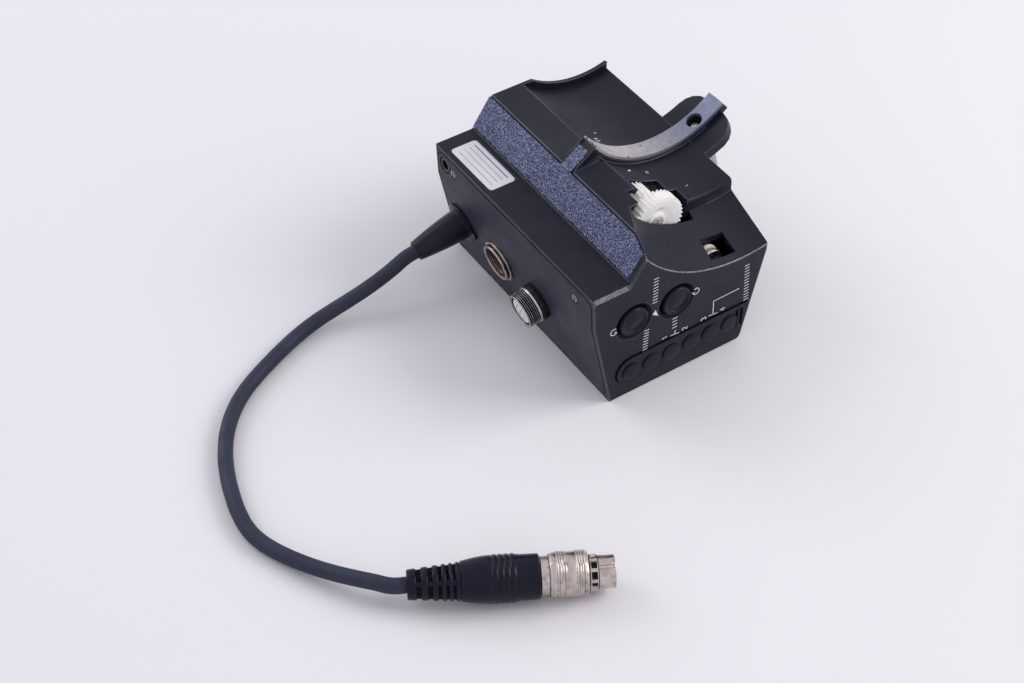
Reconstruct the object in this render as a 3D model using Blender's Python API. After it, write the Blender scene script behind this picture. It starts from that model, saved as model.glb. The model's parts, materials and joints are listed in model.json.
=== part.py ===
"""Servo focus drive unit for a camera lens: saddle housing, gear train, sockets, cable and plug.

Frame: +Z up, origin at the centre of the base, X across (the connector panel is on -X),
Y along the body (the control wall with the buttons is at -Y, the cable leaves near +Y).
Every length is in metres, written as millimetres times MM.
"""
import math

import bmesh
import bpy
from mathutils import Matrix, Vector

MM = 0.001

# Fits and overruns
GAP = 0.3 * MM                 # between pieces that touch
CUT = 2.0 * MM                 # how far a cutter runs past what it cuts
RUNNING = 0.1 * MM             # radial clearance of a running fit

# Body
BODY_LENGTH = 90.0 * MM
BASE_WIDTH = 52.5 * MM
SIDE_FLARE = 7.4 * MM          # outward lean of each side between base and knee
KNEE_HEIGHT = 36.0 * MM
SHOULDER_FLARE = 0.5 * MM      # the upper side still leans out a little
SHOULDER_HEIGHT = 48.2 * MM
SHOULDER_WIDTH = 14.0 * MM
BAND_RUN = 7.2 * MM            # slanted face with the speckled band
BAND_RISE = 10.6 * MM
BASE_CORNER = 4.0 * MM
END_WALL = 2.4 * MM
SIDE_WALL = 3.4 * MM           # left wall, which carries the connector panel
SKIN = 2.0 * MM                # roof, right wall and saddle
FLOOR_LEDGE = 1.2 * MM

# Saddle for the lens barrel
BARREL_RADIUS = 33.5 * MM
BARREL_CLEARANCE = 2.5 * MM    # between the barrel and the saddle's middle part
STEP_DEPTH = 4.5 * MM          # from the saddle down to the cone
CONE_FLARE = 7.7 * MM          # growth of the cone's radius towards the front
CONE_LENGTH = 20.0 * MM
SADDLE_SINK = 6.7 * MM         # lowest line of the barrel below the shelf
SADDLE_INSET = 10.8 * MM       # saddle axis from the right-hand side
REAR_LIP = 1.4 * MM
STEP_ROUNDING = 1.2 * MM
SADDLE_SEGMENTS = 80

# Rib, metal strip and tongue
RIB_CENTRE_Y = 1.0 * MM
RIB_WIDTH = 6.8 * MM
RIB_FROM = -142.5              # degrees round the saddle axis
RIB_TO = -47.3
RIB_FOOT = -100.0              # where the rib's underside leaves the saddle
RIB_ROOT = -120.0              # where it meets the shelf's skin
RIB_DEPTH = 1.6 * MM           # how far the rib's section reaches into the saddle skin
RIB_TIP_INSET = 0.13 * MM      # rib's tip from the end of the strip's seat
RIB_TIP_RISE = 1.02 * MM
STRIP_THICKNESS = 0.9 * MM
TONGUE_LENGTH = 22.8 * MM      # along Y
TONGUE_THICKNESS = 3.8 * MM
TONGUE_END = -50.7
TONGUE_ROOT = -84.0
TONGUE_CORNER = 7.0 * MM
STRIP_HOLE_RADIUS = 2.7 * MM
STRIP_HOLE_ANGLE = -64.5
ARC_DEGREES = 3.0              # degrees between arc points
SHADE_ANGLE = 35.0             # degrees, past which an edge stays sharp

# Clamp screw
SCREW_LEAN = -76.2             # direction of the screw's axis in the XZ plane, degrees
SCREW_SHANK_RADIUS = 2.3 * MM
SCREW_SHANK_START = 2.4 * MM   # along the axis from the strip hole's centre
SCREW_COLLAR_START = 11.4 * MM
SCREW_COLLAR_RADIUS = 3.7 * MM
SCREW_HEAD_START = 13.2 * MM
SCREW_HEAD_RADIUS = 5.1 * MM
SCREW_HEAD_LENGTH = 9.4 * MM
SCREW_KNURLS = 18
KNURL_DEPTH = 0.35 * MM
WASHER_RADIUS = 4.1 * MM
WASHER_THICKNESS = 0.8 * MM

# Band and label
BAND_RECESS = 0.7 * MM
BAND_THICKNESS = 0.4 * MM
BAND_FOOT_MARGIN = 0.6 * MM
BAND_END_MARGIN = 2.5 * MM
ARM_MARGIN = 0.7 * MM
LABEL_LENGTH = 24.0 * MM
LABEL_WIDTH = 9.8 * MM
LABEL_CORNER = 1.2 * MM
LABEL_REAR_MARGIN = 6.0 * MM
LABEL_RECESS = 0.5 * MM
LABEL_THICKNESS = 0.4 * MM

# Connector panel
PANEL_THICKNESS = 1.6 * MM
PANEL_BOTTOM = 2.2 * MM
PANEL_TOP_MARGIN = 1.6 * MM    # below the shoulder
PANEL_END_MARGIN = 1.4 * MM
PANEL_CORNER = 3.0 * MM
PANEL_WINDOW_MARGIN = 2.2 * MM
PANEL_WINDOW_DROP = 4.3 * MM   # window's top below the screws
PANEL_WINDOW_BOTTOM = 5.5 * MM
PANEL_SCREW_DROP = 6.4 * MM    # below the shoulder
FRONT_SCREW_INSET = 10.5 * MM
REAR_SCREW_INSET = 10.1 * MM
PANEL_SCREW_HEAD = 1.5 * MM
PANEL_SCREW_HEAD_DEPTH = 0.7 * MM
PANEL_SCREW_SHANK = 0.8 * MM
PANEL_SCREW_LENGTH = 2.9 * MM
SIDE_SOCKET_INSET = 5.2 * MM
SIDE_SOCKET_DROP = 6.0 * MM
SIDE_SOCKET_RADIUS = 2.7 * MM
SIDE_SOCKET_BORE = 1.7 * MM
SIDE_SOCKET_DEPTH = 3.0 * MM
SIDE_SOCKET_SINK = 0.4 * MM

# Sockets and gland: a row on the panel's slanted lower part
SOCKET_ROW = 19.6 * MM         # up the slope from the base edge
GLAND_INSET = 10.0 * MM        # from the rear end
SOCKET_PITCH = 22.5 * MM
GLAND_FLANGE_RADIUS = 7.2 * MM
GLAND_FLANGE = 0.9 * MM
GLAND_TAIL_RADIUS = 4.2 * MM
GLAND_TAIL = 4.4 * MM
GLAND_NUT_RADIUS = 5.7 * MM
BOOT_LENGTH = 19.2 * MM
BOOT_BASE_RADIUS = 5.4 * MM
BOOT_TIP_RADIUS = 3.45 * MM
RING_FLANGE_RADIUS = 7.5 * MM
RING_RIM_RADIUS = 6.6 * MM
RING_HEIGHT = 1.8 * MM
RING_FLANGE = 0.9 * MM
RING_BODY_RADIUS = 6.0 * MM
RING_BORE = 5.3 * MM
RING_DEPTH = 12.0 * MM
RING_INSERT_DEPTH = 3.2 * MM
THREAD_RADIUS = 6.05 * MM
THREAD_HEIGHT = 7.3 * MM
THREAD_RIDGES = 7
THREAD_DEPTH = 0.45 * MM
THREAD_BORE = 4.9 * MM
THREAD_BODY_RADIUS = 5.4 * MM
THREAD_BODY_DEPTH = 10.0 * MM
THREAD_INSERT_SINK = 0.9 * MM
COLLAR_RADIUS = 6.5 * MM
COLLAR_HEIGHT = 2.0 * MM
SOCKET_FLOOR = 1.0 * MM

# Control wall
BUTTON_DROP = 16.0 * MM        # below the shoulder
LEFT_BUTTON_INSET = 7.8 * MM
BUTTON_PITCH = 16.5 * MM
BUTTON_RADIUS = 5.6 * MM
BUTTON_DOME_RADIUS = 4.4 * MM
BUTTON_DOME = 0.6 * MM
BUTTON_DISH = 0.8 * MM
BUTTON_FLANGE_RADIUS = 6.9 * MM
BUTTON_FLANGE = 0.8 * MM
BUTTON_STUB_RADIUS = 1.6 * MM
BUTTON_STUB = 0.6 * MM
BUTTON_TRAVEL = 0.8 * MM
SWITCH_SIZE = 6.0 * MM
TRIMMER_COUNT = 6
TRIMMER_LEFT_INSET = 7.4 * MM
TRIMMER_RIGHT_INSET = 5.8 * MM
TRIMMER_HEIGHT = 10.6 * MM
TRIMMER_RADIUS = 2.1 * MM
TRIMMER_HOLE = 2.4 * MM
TRIMMER_LENGTH = 1.7 * MM
TRIMMER_SLOT = 0.5 * MM
COVER_BOTTOM = 5.4 * MM
COVER_TOP = 16.4 * MM
COVER_LEFT_INSET = 2.05 * MM
COVER_RIGHT_MARGIN = 1.9 * MM  # to the body's slanted right edge
COVER_RECESS = 1.3 * MM
COVER_THICKNESS = 1.5 * MM
DOME_RADIUS = 3.3 * MM
DOME_RISE = 0.6 * MM
RIDGE_WIDTH = 0.7 * MM
RIDGE_LENGTH = 7.0 * MM
RIDGE_PITCH = 1.9 * MM

# Boards
BOARD = 1.6 * MM
BOSS_RADIUS = 2.0 * MM
BOSS_INSET = 2.4 * MM
CONTROL_BOARD_DEPTH = 7.6 * MM     # behind the control wall's face
CONTROL_BOARD_LEFT_INSET = 3.65 * MM
CONTROL_BOARD_RIGHT_INSET = 2.65 * MM
CONTROL_BOARD_STEP = 10.05 * MM    # the tall part ends this far short of the clutch shaft
CONTROL_BOARD_STEP_Z = 21.5 * MM
CONTROL_BOARD_BOTTOM = 4.2 * MM
CONTROL_BOARD_HEADROOM = 6.6 * MM  # above the middle of the buttons
BANK_HALF_HEIGHT = 3.6 * MM
BANK_THICKNESS = 3.8 * MM
MAIN_BOARD_HEIGHT = 7.0 * MM
MAIN_BOARD_LEFT_INSET = 6.25 * MM
MAIN_BOARD_MOTOR_GAP = 0.6 * MM
MAIN_BOARD_FRONT_GAP = 3.7 * MM    # behind the gear plate's foot
MAIN_BOARD_REAR_GAP = 2.1 * MM     # in front of the rear wall
CHIP_HEIGHT = 1.8 * MM
CHIP_SHARES = ((0.3, 0.25, 0.17), (0.7, 0.45, 0.12), (0.4, 0.75, 0.15))
STANDOFF_RADIUS = 2.0 * MM
STANDOFF_INSET = 4.6 * MM

# Base cover
COVER_PLATE = 2.0 * MM
COVER_PLATE_SIDE_INSET = 3.65 * MM
COVER_PLATE_END_INSET = 3.0 * MM
COVER_PLATE_CORNER = 2.5 * MM
OPENING_MARGIN = 3.2 * MM
BASE_SCREW_INSET = 1.75 * MM
BASE_SCREW_END_INSET = 7.0 * MM
BASE_SCREW_HEAD = 1.2 * MM
BASE_SCREW_HEAD_DEPTH = 0.8 * MM
BASE_SCREW_SHANK = 0.7 * MM
BASE_SCREW_LENGTH = 3.2 * MM

# Windows in the saddle: reach to each side of the shaft below, and depths behind the front
WINDOW_CONE_REACH = (11.0 * MM, 12.8 * MM)
WINDOW_MID_REACH = (9.2 * MM, 11.6 * MM)
WINDOW_REAR_REACH = (4.9 * MM, 8.5 * MM)
SQUARE_WINDOW_REACH = (3.65 * MM, 6.2 * MM)
WINDOW_LEAD = 0.6 * MM         # the window starts this far in front of the drive gear
WINDOW_MID_LENGTH = 6.5 * MM
WINDOW_REAR_LENGTH = 6.2 * MM
SQUARE_WINDOW_START = 2.7 * MM
SQUARE_WINDOW_LENGTH = 7.3 * MM

# Gear train
MODULE = 0.5 * MM
DRIVE_OFFSET = 21.2 * MM       # left of the saddle axis
DRIVE_DROP = 2.9 * MM          # below the barrel's lowest line
CLUTCH_OFFSET = 7.3 * MM
CLUTCH_DROP = 16.8 * MM
MESH_SLACK = 0.08 * MM
TOOTH_SHARES = (-0.27, -0.12, 0.12, 0.27)   # of one tooth's pitch: root, tip, tip, root
ROOT_DEPTH_SHARE = 1.2         # of the module
DRIVE_TEETH, DRIVE_PINION_TEETH = 38, 22
IDLER_PINION_TEETH, IDLER_TEETH = 16, 40
CLUTCH_PINION_TEETH, CLUTCH_TEETH = 14, 36
MOTOR_TEETH = 12
SENSOR_TEETH = 30
SENSOR_BEARING = 212.0         # direction from the drive axis to the sensor axis, degrees
MOTOR_BEARING = -100.0         # direction from the clutch axis to the motor axis, degrees
DRIVE_DEPTH = 17.5 * MM        # drive gear's face behind the front
DRIVE_WHEEL_WIDTH = 4.4 * MM
DRIVE_PINION_WIDTH = 10.4 * MM
TRAIN_GAP = 0.5 * MM
AXLE_RADIUS = 1.5 * MM
DISH_RADIUS = 6.4 * MM
DISH_DEPTH = 1.0 * MM
HUB_RADIUS = 3.4 * MM
AXLE_SCREW_RADIUS = 2.3 * MM
AXLE_SCREW_HEAD = 0.9 * MM
SCREW_SLOT = 0.5 * MM
WHEEL_WIDTH = 2.4 * MM
PLATE = 1.6 * MM
PLATE_LEFT_INSET = 11.25 * MM  # from the body's base edges
PLATE_RIGHT_INSET = 7.45 * MM
PLATE_ARC_FROM, PLATE_ARC_TO = -92.0, -122.0
FOOT_LENGTH = 5.0 * MM
FOOT_HALF_WIDTH = 12.0 * MM
SENSOR_GEAR_WIDTH = 3.0 * MM
SENSOR_RADIUS = 6.0 * MM
SENSOR_LENGTH = 8.0 * MM
MOTOR_RADIUS = 8.0 * MM
MOTOR_LENGTH = 28.0 * MM
MOTOR_SHAFT_RADIUS = 1.0 * MM
MOTOR_SHAFT_REACH = 6.0 * MM
MOTOR_PLATE_RIGHT_REACH = 8.35 * MM    # past the clutch axis
MOTOR_PLATE_LEFT_REACH = 12.45 * MM    # past the motor axis
MOTOR_PLATE_TOP_REACH = 6.2 * MM
MOTOR_PLATE_BOTTOM_REACH = 10.4 * MM
POST_RADIUS = 1.4 * MM
POST_INSET = 2.6 * MM
BEARING_RADIUS = 3.4 * MM
BEARING_LENGTH = 1.8 * MM
CLUTCH_RING_RADIUS = 4.0 * MM
CLUTCH_RING_WIDTH = 1.5 * MM
CLUTCH_RING_GAP = 0.9 * MM
CLUTCH_RING_DEPTH = 8.4 * MM   # behind the front

# Cable and plug
CABLE_RADIUS = 2.45 * MM
CABLE_STEP = 9.8 * MM
PLUG_START = (-120.27 * MM, -76.08 * MM)
PLUG_END = (-67.48 * MM, -104.93 * MM)
PLUG_AXIS_HEIGHT = 7.3 * MM
PLUG_RIBS = 6
PLUG_RIB_LENGTH = 15.3 * MM
PLUG_RIB_START_RADIUS = 4.4 * MM
PLUG_RIB_END_RADIUS = 5.7 * MM
PLUG_RIB_DEPTH = 0.8 * MM
PLUG_TAPER_END = 24.7 * MM
PLUG_SHOULDER = 0.9 * MM       # where the taper rounds into the grip
PLUG_GRIP_RADIUS = 7.2 * MM
PLUG_GRIP_END = 31.3 * MM
PLUG_GRIP_GROOVES = 3
PLUG_GROOVE_DEPTH = 0.5 * MM
PLUG_PLAIN_RADIUS = 6.65 * MM
PLUG_BOOT_LENGTH = 38.3 * MM
PLUG_CORE_RADIUS = 5.1 * MM
PLUG_NECK_RADIUS = 5.8 * MM
PLUG_NECK_LENGTH = 0.6 * MM
SLEEVE_START = 41.0 * MM
SLEEVE_LENGTH = 11.3 * MM
SLEEVE_RADIUS = 6.75 * MM
SLEEVE_BORE = 5.4 * MM
SLEEVE_RIDGE = 0.25 * MM
CLAW_RADIUS = 5.35 * MM
CLAW_LENGTH = 2.4 * MM
NOSE_RADIUS = 4.9 * MM
NOSE_BORE = 4.05 * MM
NOSE_END = 60.1 * MM
KEYWAY_WIDTH = 1.0 * MM
KEYWAY_DEPTH = 0.4 * MM
KEYWAYS = 4
INSERT_SINK = 1.6 * MM
PIN_RADIUS = 0.35 * MM
PIN_LENGTH = 1.2 * MM
PIN_CIRCLE = 2.2 * MM
PLUG_PINS = 6

# Shares of a piece's own sizes
BUTTON_SHARES = ((0.5, 0.8), (0.85, 0.35))  # of the dome's radius and height
BUTTON_FOOT_SHARE = 0.3        # of the dish's depth, where the dome ends
BUTTON_RIM_SHARE = 0.45
BUTTON_EDGE_SHARE = 0.7
DOME_SHARES = ((1.0, 0.6), (0.8, 0.9))
BOOT_TAPER_SHARES = (0.15, 0.35, 0.55, 0.75, 0.92)
BOOT_CURVE_SHARE = 0.85
RIB_SHARES = (0.55, 0.6, 0.95)              # of one rib's pitch: rib ends, groove starts, groove ends
GROOVE_SHARES = (0.55, 0.65, 0.9)
SLEEVE_BAND_SHARE = 0.08                    # of the sleeve's length: its bevelled edge
SLEEVE_RIDGE_SHARES = (0.33, 0.5, 0.75, 0.92)
SLEEVE_PEAK_SHARES = (0.017, 0.042)

# Sides and steps of round shapes
ROUND_SIDES = 20
PLUG_SIDES = 16
SMALL_SIDES = 12
PIN_SIDES = 8
NUT_SIDES = 6
CORNER_STEPS = 4
COVER_END_STEPS = 8
ROUNDING_STEPS = 3
SMOOTH_STEPS = 12

# Worked out from the sizes above
HALF_LENGTH = BODY_LENGTH / 2
HALF_BASE = BASE_WIDTH / 2
HALF_KNEE = HALF_BASE + SIDE_FLARE
HALF_SHOULDER = HALF_KNEE + SHOULDER_FLARE
BAND_FOOT_X = -HALF_SHOULDER + SHOULDER_WIDTH
BAND_TOP_X = BAND_FOOT_X + BAND_RUN
SHELF_HEIGHT = SHOULDER_HEIGHT + BAND_RISE
BAND_SLOPE = math.hypot(BAND_RUN, BAND_RISE)
FRONT_Y = -HALF_LENGTH
REAR_Y = HALF_LENGTH
STEP_Y = FRONT_Y + CONE_LENGTH
FRONT_INNER_Y = FRONT_Y + END_WALL
REAR_INNER_Y = REAR_Y - END_WALL
SADDLE_RADIUS = BARREL_RADIUS + BARREL_CLEARANCE
CONE_REAR_RADIUS = SADDLE_RADIUS + STEP_DEPTH
CONE_FRONT_RADIUS = CONE_REAR_RADIUS + CONE_FLARE
BARREL_FLOOR = SHELF_HEIGHT - SADDLE_SINK
SADDLE_AXIS_X = HALF_SHOULDER - SADDLE_INSET
SADDLE_AXIS_Z = BARREL_FLOOR + BARREL_RADIUS
STRIP_SEAT = BARREL_RADIUS + STRIP_THICKNESS + GAP
RIB_TIP_X = SADDLE_AXIS_X + STRIP_SEAT * math.cos(math.radians(RIB_FROM)) + RIB_TIP_INSET
RIB_TIP_Z = SADDLE_AXIS_Z + STRIP_SEAT * math.sin(math.radians(RIB_FROM)) + RIB_TIP_RISE
RAMP_SLOPE = math.hypot(RIB_TIP_X - BAND_TOP_X, RIB_TIP_Z - SHELF_HEIGHT)
RIB_LOW, RIB_HIGH = RIB_CENTRE_Y - RIB_WIDTH / 2, RIB_CENTRE_Y + RIB_WIDTH / 2
LABEL_CENTRE_X = (-HALF_SHOULDER + BAND_FOOT_X) / 2
LABEL_CENTRE_Y = REAR_Y - LABEL_REAR_MARGIN - LABEL_LENGTH / 2
PANEL_TOP = SHOULDER_HEIGHT - PANEL_TOP_MARGIN
PANEL_SCREW_HEIGHT = SHOULDER_HEIGHT - PANEL_SCREW_DROP
PANEL_WINDOW_TOP = PANEL_SCREW_HEIGHT - PANEL_WINDOW_DROP
FRONT_SCREW_Y = FRONT_Y + FRONT_SCREW_INSET
REAR_SCREW_Y = REAR_Y - REAR_SCREW_INSET
SIDE_SOCKET_Y = REAR_Y - SIDE_SOCKET_INSET
SIDE_SOCKET_HEIGHT = SHOULDER_HEIGHT - SIDE_SOCKET_DROP
GLAND_Y = REAR_Y - GLAND_INSET
RING_SOCKET_Y = GLAND_Y - SOCKET_PITCH
THREAD_SOCKET_Y = RING_SOCKET_Y - SOCKET_PITCH
BUTTON_HEIGHT = SHOULDER_HEIGHT - BUTTON_DROP
LEFT_BUTTON_X = -HALF_BASE + LEFT_BUTTON_INSET
RIGHT_BUTTON_X = LEFT_BUTTON_X + BUTTON_PITCH
TRIMMER_FIRST_X = -HALF_BASE + TRIMMER_LEFT_INSET
TRIMMER_PITCH = (HALF_BASE - TRIMMER_RIGHT_INSET - TRIMMER_FIRST_X) / (TRIMMER_COUNT - 1)
COVER_LEFT = -HALF_BASE + COVER_LEFT_INSET
COVER_PLATE_HALF_WIDTH = HALF_BASE - COVER_PLATE_SIDE_INSET
COVER_PLATE_HALF_LENGTH = HALF_LENGTH - COVER_PLATE_END_INSET
DRIVE_X, DRIVE_Z = SADDLE_AXIS_X - DRIVE_OFFSET, BARREL_FLOOR - DRIVE_DROP
CLUTCH_X, CLUTCH_Z = SADDLE_AXIS_X - CLUTCH_OFFSET, BARREL_FLOOR - CLUTCH_DROP
CLUTCH_RING_Y = FRONT_Y + CLUTCH_RING_DEPTH
CONTROL_BOARD_Y = FRONT_Y + CONTROL_BOARD_DEPTH
CONTROL_BOARD_LEFT = -HALF_BASE + CONTROL_BOARD_LEFT_INSET
CONTROL_BOARD_RIGHT = HALF_BASE - CONTROL_BOARD_RIGHT_INSET
CONTROL_BOARD_STEP_X = CLUTCH_X - CONTROL_BOARD_STEP
CONTROL_BOARD_TOP = BUTTON_HEIGHT + CONTROL_BOARD_HEADROOM
PLATE_LEFT = -HALF_BASE + PLATE_LEFT_INSET
PLATE_RIGHT = HALF_BASE - PLATE_RIGHT_INSET
DRIVE_FACE_Y = FRONT_Y + DRIVE_DEPTH
WINDOW_FRONT_Y = DRIVE_FACE_Y - WINDOW_LEAD
WINDOW_MID_Y = STEP_Y + WINDOW_MID_LENGTH
WINDOW_REAR_Y = WINDOW_MID_Y + WINDOW_REAR_LENGTH
SQUARE_WINDOW_FRONT_Y = FRONT_Y + SQUARE_WINDOW_START
SQUARE_WINDOW_REAR_Y = SQUARE_WINDOW_FRONT_Y + SQUARE_WINDOW_LENGTH
PANEL_SLOPE = math.hypot(SIDE_FLARE, KNEE_HEIGHT)
PANEL_NORMAL = Vector((-KNEE_HEIGHT / PANEL_SLOPE, 0.0, -SIDE_FLARE / PANEL_SLOPE))
PANEL_UP = Vector((-SIDE_FLARE / PANEL_SLOPE, 0.0, KNEE_HEIGHT / PANEL_SLOPE))
DRIVE_REAR_Y = DRIVE_FACE_Y + DRIVE_WHEEL_WIDTH + DRIVE_PINION_WIDTH
TRAIN_WHEEL_Y = DRIVE_REAR_Y + TRAIN_GAP
GEAR_PLATE_Y = TRAIN_WHEEL_Y + WHEEL_WIDTH + TRAIN_GAP
CLUTCH_WHEEL_Y = GEAR_PLATE_Y + PLATE + TRAIN_GAP
MOTOR_PLATE_Y = CLUTCH_WHEEL_Y + WHEEL_WIDTH + TRAIN_GAP
MAIN_BOARD_FRONT = GEAR_PLATE_Y + PLATE + FOOT_LENGTH + MAIN_BOARD_FRONT_GAP
MAIN_BOARD_REAR = REAR_INNER_Y - MAIN_BOARD_REAR_GAP
MAIN_BOARD_LEFT = -HALF_BASE + MAIN_BOARD_LEFT_INSET


def clear_scene():
    """Remove every object that is in the scene."""
    for item in list(bpy.data.objects):
        bpy.data.objects.remove(item, do_unlink=True)


def material(name, colour, roughness, metallic=0.0):
    """A plain Principled material."""
    mat = bpy.data.materials.new(name)
    mat.use_nodes = True
    shader = mat.node_tree.nodes["Principled BSDF"]
    shader.inputs["Base Color"].default_value = (*colour, 1.0)
    shader.inputs["Roughness"].default_value = roughness
    shader.inputs["Metallic"].default_value = metallic
    return mat


def add_mesh(name, bm, mat=None, matrix=None):
    """Turn a bmesh into a named object, outward faces, smooth where it is round."""
    bmesh.ops.remove_doubles(bm, verts=bm.verts, dist=GAP / 1000)
    bmesh.ops.recalc_face_normals(bm, faces=bm.faces)
    mesh = bpy.data.meshes.new(name)
    bm.to_mesh(mesh)
    bm.free()
    if mesh.polygons:
        mesh.shade_smooth()
        mesh.set_sharp_from_angle(angle=math.radians(SHADE_ANGLE))
    item = bpy.data.objects.new(name, mesh)
    bpy.context.scene.collection.objects.link(item)
    if matrix is not None:
        item.matrix_world = matrix
    if mat is not None:
        mesh.materials.append(mat)
    return item


def hide(item):
    """Mark an object as a guide that is not part of the model."""
    item.hide_render = True
    item.display_type = "WIRE"
    return item


def boolean(target, other, operation):
    """Join or cut the target with a guide object."""
    hide(other)
    mod = target.modifiers.new(f"{operation.lower()} {other.name}", "BOOLEAN")
    mod.operation = operation
    mod.solver = "EXACT"
    mod.object = other
    return target


def cut(target, other):
    return boolean(target, other, "DIFFERENCE")


def join(target, other):
    return boolean(target, other, "UNION")


def keep_inside(target, other):
    return boolean(target, other, "INTERSECT")


def prism_mesh(outline, low, high):
    """Extrude a closed outline of (a, b) points from low to high along the local Z axis."""
    bm = bmesh.new()
    bottom = [bm.verts.new((a, b, low)) for a, b in outline]
    top = [bm.verts.new((a, b, high)) for a, b in outline]
    bm.faces.new(list(reversed(bottom)))
    bm.faces.new(top)
    count = len(outline)
    for i in range(count):
        j = (i + 1) % count
        bm.faces.new((bottom[i], bottom[j], top[j], top[i]))
    return bm


# Frames whose local Z is the extrusion direction
def along_y(x=0.0, y=0.0, z=0.0):
    """Local X stays X, local Y becomes Z, local Z becomes -Y."""
    return Matrix.Translation((x, y, z)) @ Matrix.Rotation(math.pi / 2, 4, "X")


def along_x(x=0.0, y=0.0, z=0.0):
    """Local X becomes Y, local Y becomes Z, local Z becomes X."""
    turn = Matrix(((0, 0, 1, 0), (1, 0, 0, 0), (0, 1, 0, 0), (0, 0, 0, 1)))
    return Matrix.Translation((x, y, z)) @ turn


def along(origin, direction):
    """Local Z becomes the given direction."""
    turn = Vector(direction).to_track_quat("Z", "Y").to_matrix().to_4x4()
    return Matrix.Translation(origin) @ turn


def prism_y(name, outline, y_low, y_high, mat=None):
    """Extrude an (x, z) outline between two Y places."""
    return add_mesh(name, prism_mesh(outline, -y_high, -y_low), mat, along_y())


def box(name, low, high, mat=None):
    """A box between two corners."""
    (x0, y0, z0), (x1, y1, z1) = low, high
    return add_mesh(name, prism_mesh([(x0, y0), (x1, y0), (x1, y1), (x0, y1)], z0, z1), mat)


def circle(radius, sides, start=0.0, centre=(0.0, 0.0)):
    """Points of a circle."""
    step = 2 * math.pi / sides
    return [(centre[0] + radius * math.cos(start + i * step),
             centre[1] + radius * math.sin(start + i * step)) for i in range(sides)]


def rounded_rectangle(a_low, a_high, b_low, b_high, radius):
    """Points of a rectangle with round corners."""
    points = []
    corners = [(a_high - radius, b_high - radius), (a_low + radius, b_high - radius),
               (a_low + radius, b_low + radius), (a_high - radius, b_low + radius)]
    for quarter, (a, b) in enumerate(corners):
        for i in range(CORNER_STEPS + 1):
            angle = (quarter + i / CORNER_STEPS) * math.pi / 2
            points.append((a + radius * math.cos(angle), b + radius * math.sin(angle)))
    return points


def turned_mesh(profile, sides=ROUND_SIDES):
    """Turn a profile of (radius, height) points round the local Z axis.

    A profile that starts and ends at radius zero gives a solid; any other is closed on itself
    and gives a ring.
    """
    bm = bmesh.new()
    rings = []
    for radius, height in profile:
        if radius == 0.0:
            rings.append([bm.verts.new((0.0, 0.0, height))])
        else:
            rings.append([bm.verts.new((a, b, height)) for a, b in circle(radius, sides)])
    solid = profile[0][0] == 0.0 and profile[-1][0] == 0.0
    pairs = list(zip(rings, rings[1:])) if solid else list(zip(rings, rings[1:] + rings[:1]))
    for first, second in pairs:
        for i in range(sides):
            j = (i + 1) % sides
            corners = []
            for corner in (first[i % len(first)], first[j % len(first)],
                           second[j % len(second)], second[i % len(second)]):
                if corner not in corners:
                    corners.append(corner)
            if len(corners) > 2:
                bm.faces.new(corners)
    return bm


def turned(name, profile, matrix, mat=None, sides=ROUND_SIDES):
    return add_mesh(name, turned_mesh(profile, sides), mat, matrix)


def cylinder_y(name, x, z, radius, y_low, y_high, mat=None, sides=ROUND_SIDES):
    """A round bar along Y."""
    return add_mesh(name, prism_mesh(circle(radius, sides), -y_high, -y_low), mat, along_y(x, 0.0, z))


def saddle_point(radius, degrees):
    """A point (x, z) on a circle round the saddle axis."""
    angle = math.radians(degrees)
    return SADDLE_AXIS_X + radius * math.cos(angle), SADDLE_AXIS_Z + radius * math.sin(angle)


def saddle_arc(radius, start, end):
    """Points along a circle round the saddle axis, both ends included."""
    steps = max(2, round(abs(end - start) / ARC_DEGREES))
    return [saddle_point(radius, start + (end - start) * i / steps) for i in range(steps + 1)]


def cone_radius(y):
    """Radius of the front part of the saddle at a place along Y."""
    return CONE_REAR_RADIUS + (CONE_FRONT_RADIUS - CONE_REAR_RADIUS) * (STEP_Y - y) / CONE_LENGTH


def panel_frame(y, offset=0.0):
    """Frame on the slanted part of the connector panel, local Z pointing out."""
    base = Vector((-HALF_BASE, y, 0.0)) + PANEL_UP * SOCKET_ROW + PANEL_NORMAL * offset
    return along(base, PANEL_NORMAL)


def side_x(z):
    """X of the right-hand outline at a height; the left one is its mirror image."""
    if z <= KNEE_HEIGHT:
        return HALF_BASE + SIDE_FLARE * z / KNEE_HEIGHT
    return HALF_KNEE + SHOULDER_FLARE * (z - KNEE_HEIGHT) / (SHOULDER_HEIGHT - KNEE_HEIGHT)


def body_outline():
    """Outside of the body in XZ, before the saddle is cut, from the left base corner."""
    right_foot = (HALF_BASE, 0.0)
    lean = math.atan2(SIDE_FLARE, KNEE_HEIGHT)
    corner = []
    reach = BASE_CORNER * math.tan((math.pi / 2 - lean) / 2)
    centre = (right_foot[0] - reach, BASE_CORNER)
    for i in range(CORNER_STEPS + 1):
        angle = -math.pi / 2 + (math.pi / 2 - lean) * i / CORNER_STEPS
        corner.append((centre[0] + BASE_CORNER * math.cos(angle),
                       centre[1] + BASE_CORNER * math.sin(angle)))
    return ([(-HALF_BASE, 0.0)] + corner
            + [(HALF_KNEE, KNEE_HEIGHT), (HALF_KNEE, SHELF_HEIGHT),
               (BAND_TOP_X, SHELF_HEIGHT), (BAND_FOOT_X, SHOULDER_HEIGHT),
               (-HALF_SHOULDER, SHOULDER_HEIGHT), (-HALF_KNEE, KNEE_HEIGHT)])


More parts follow.
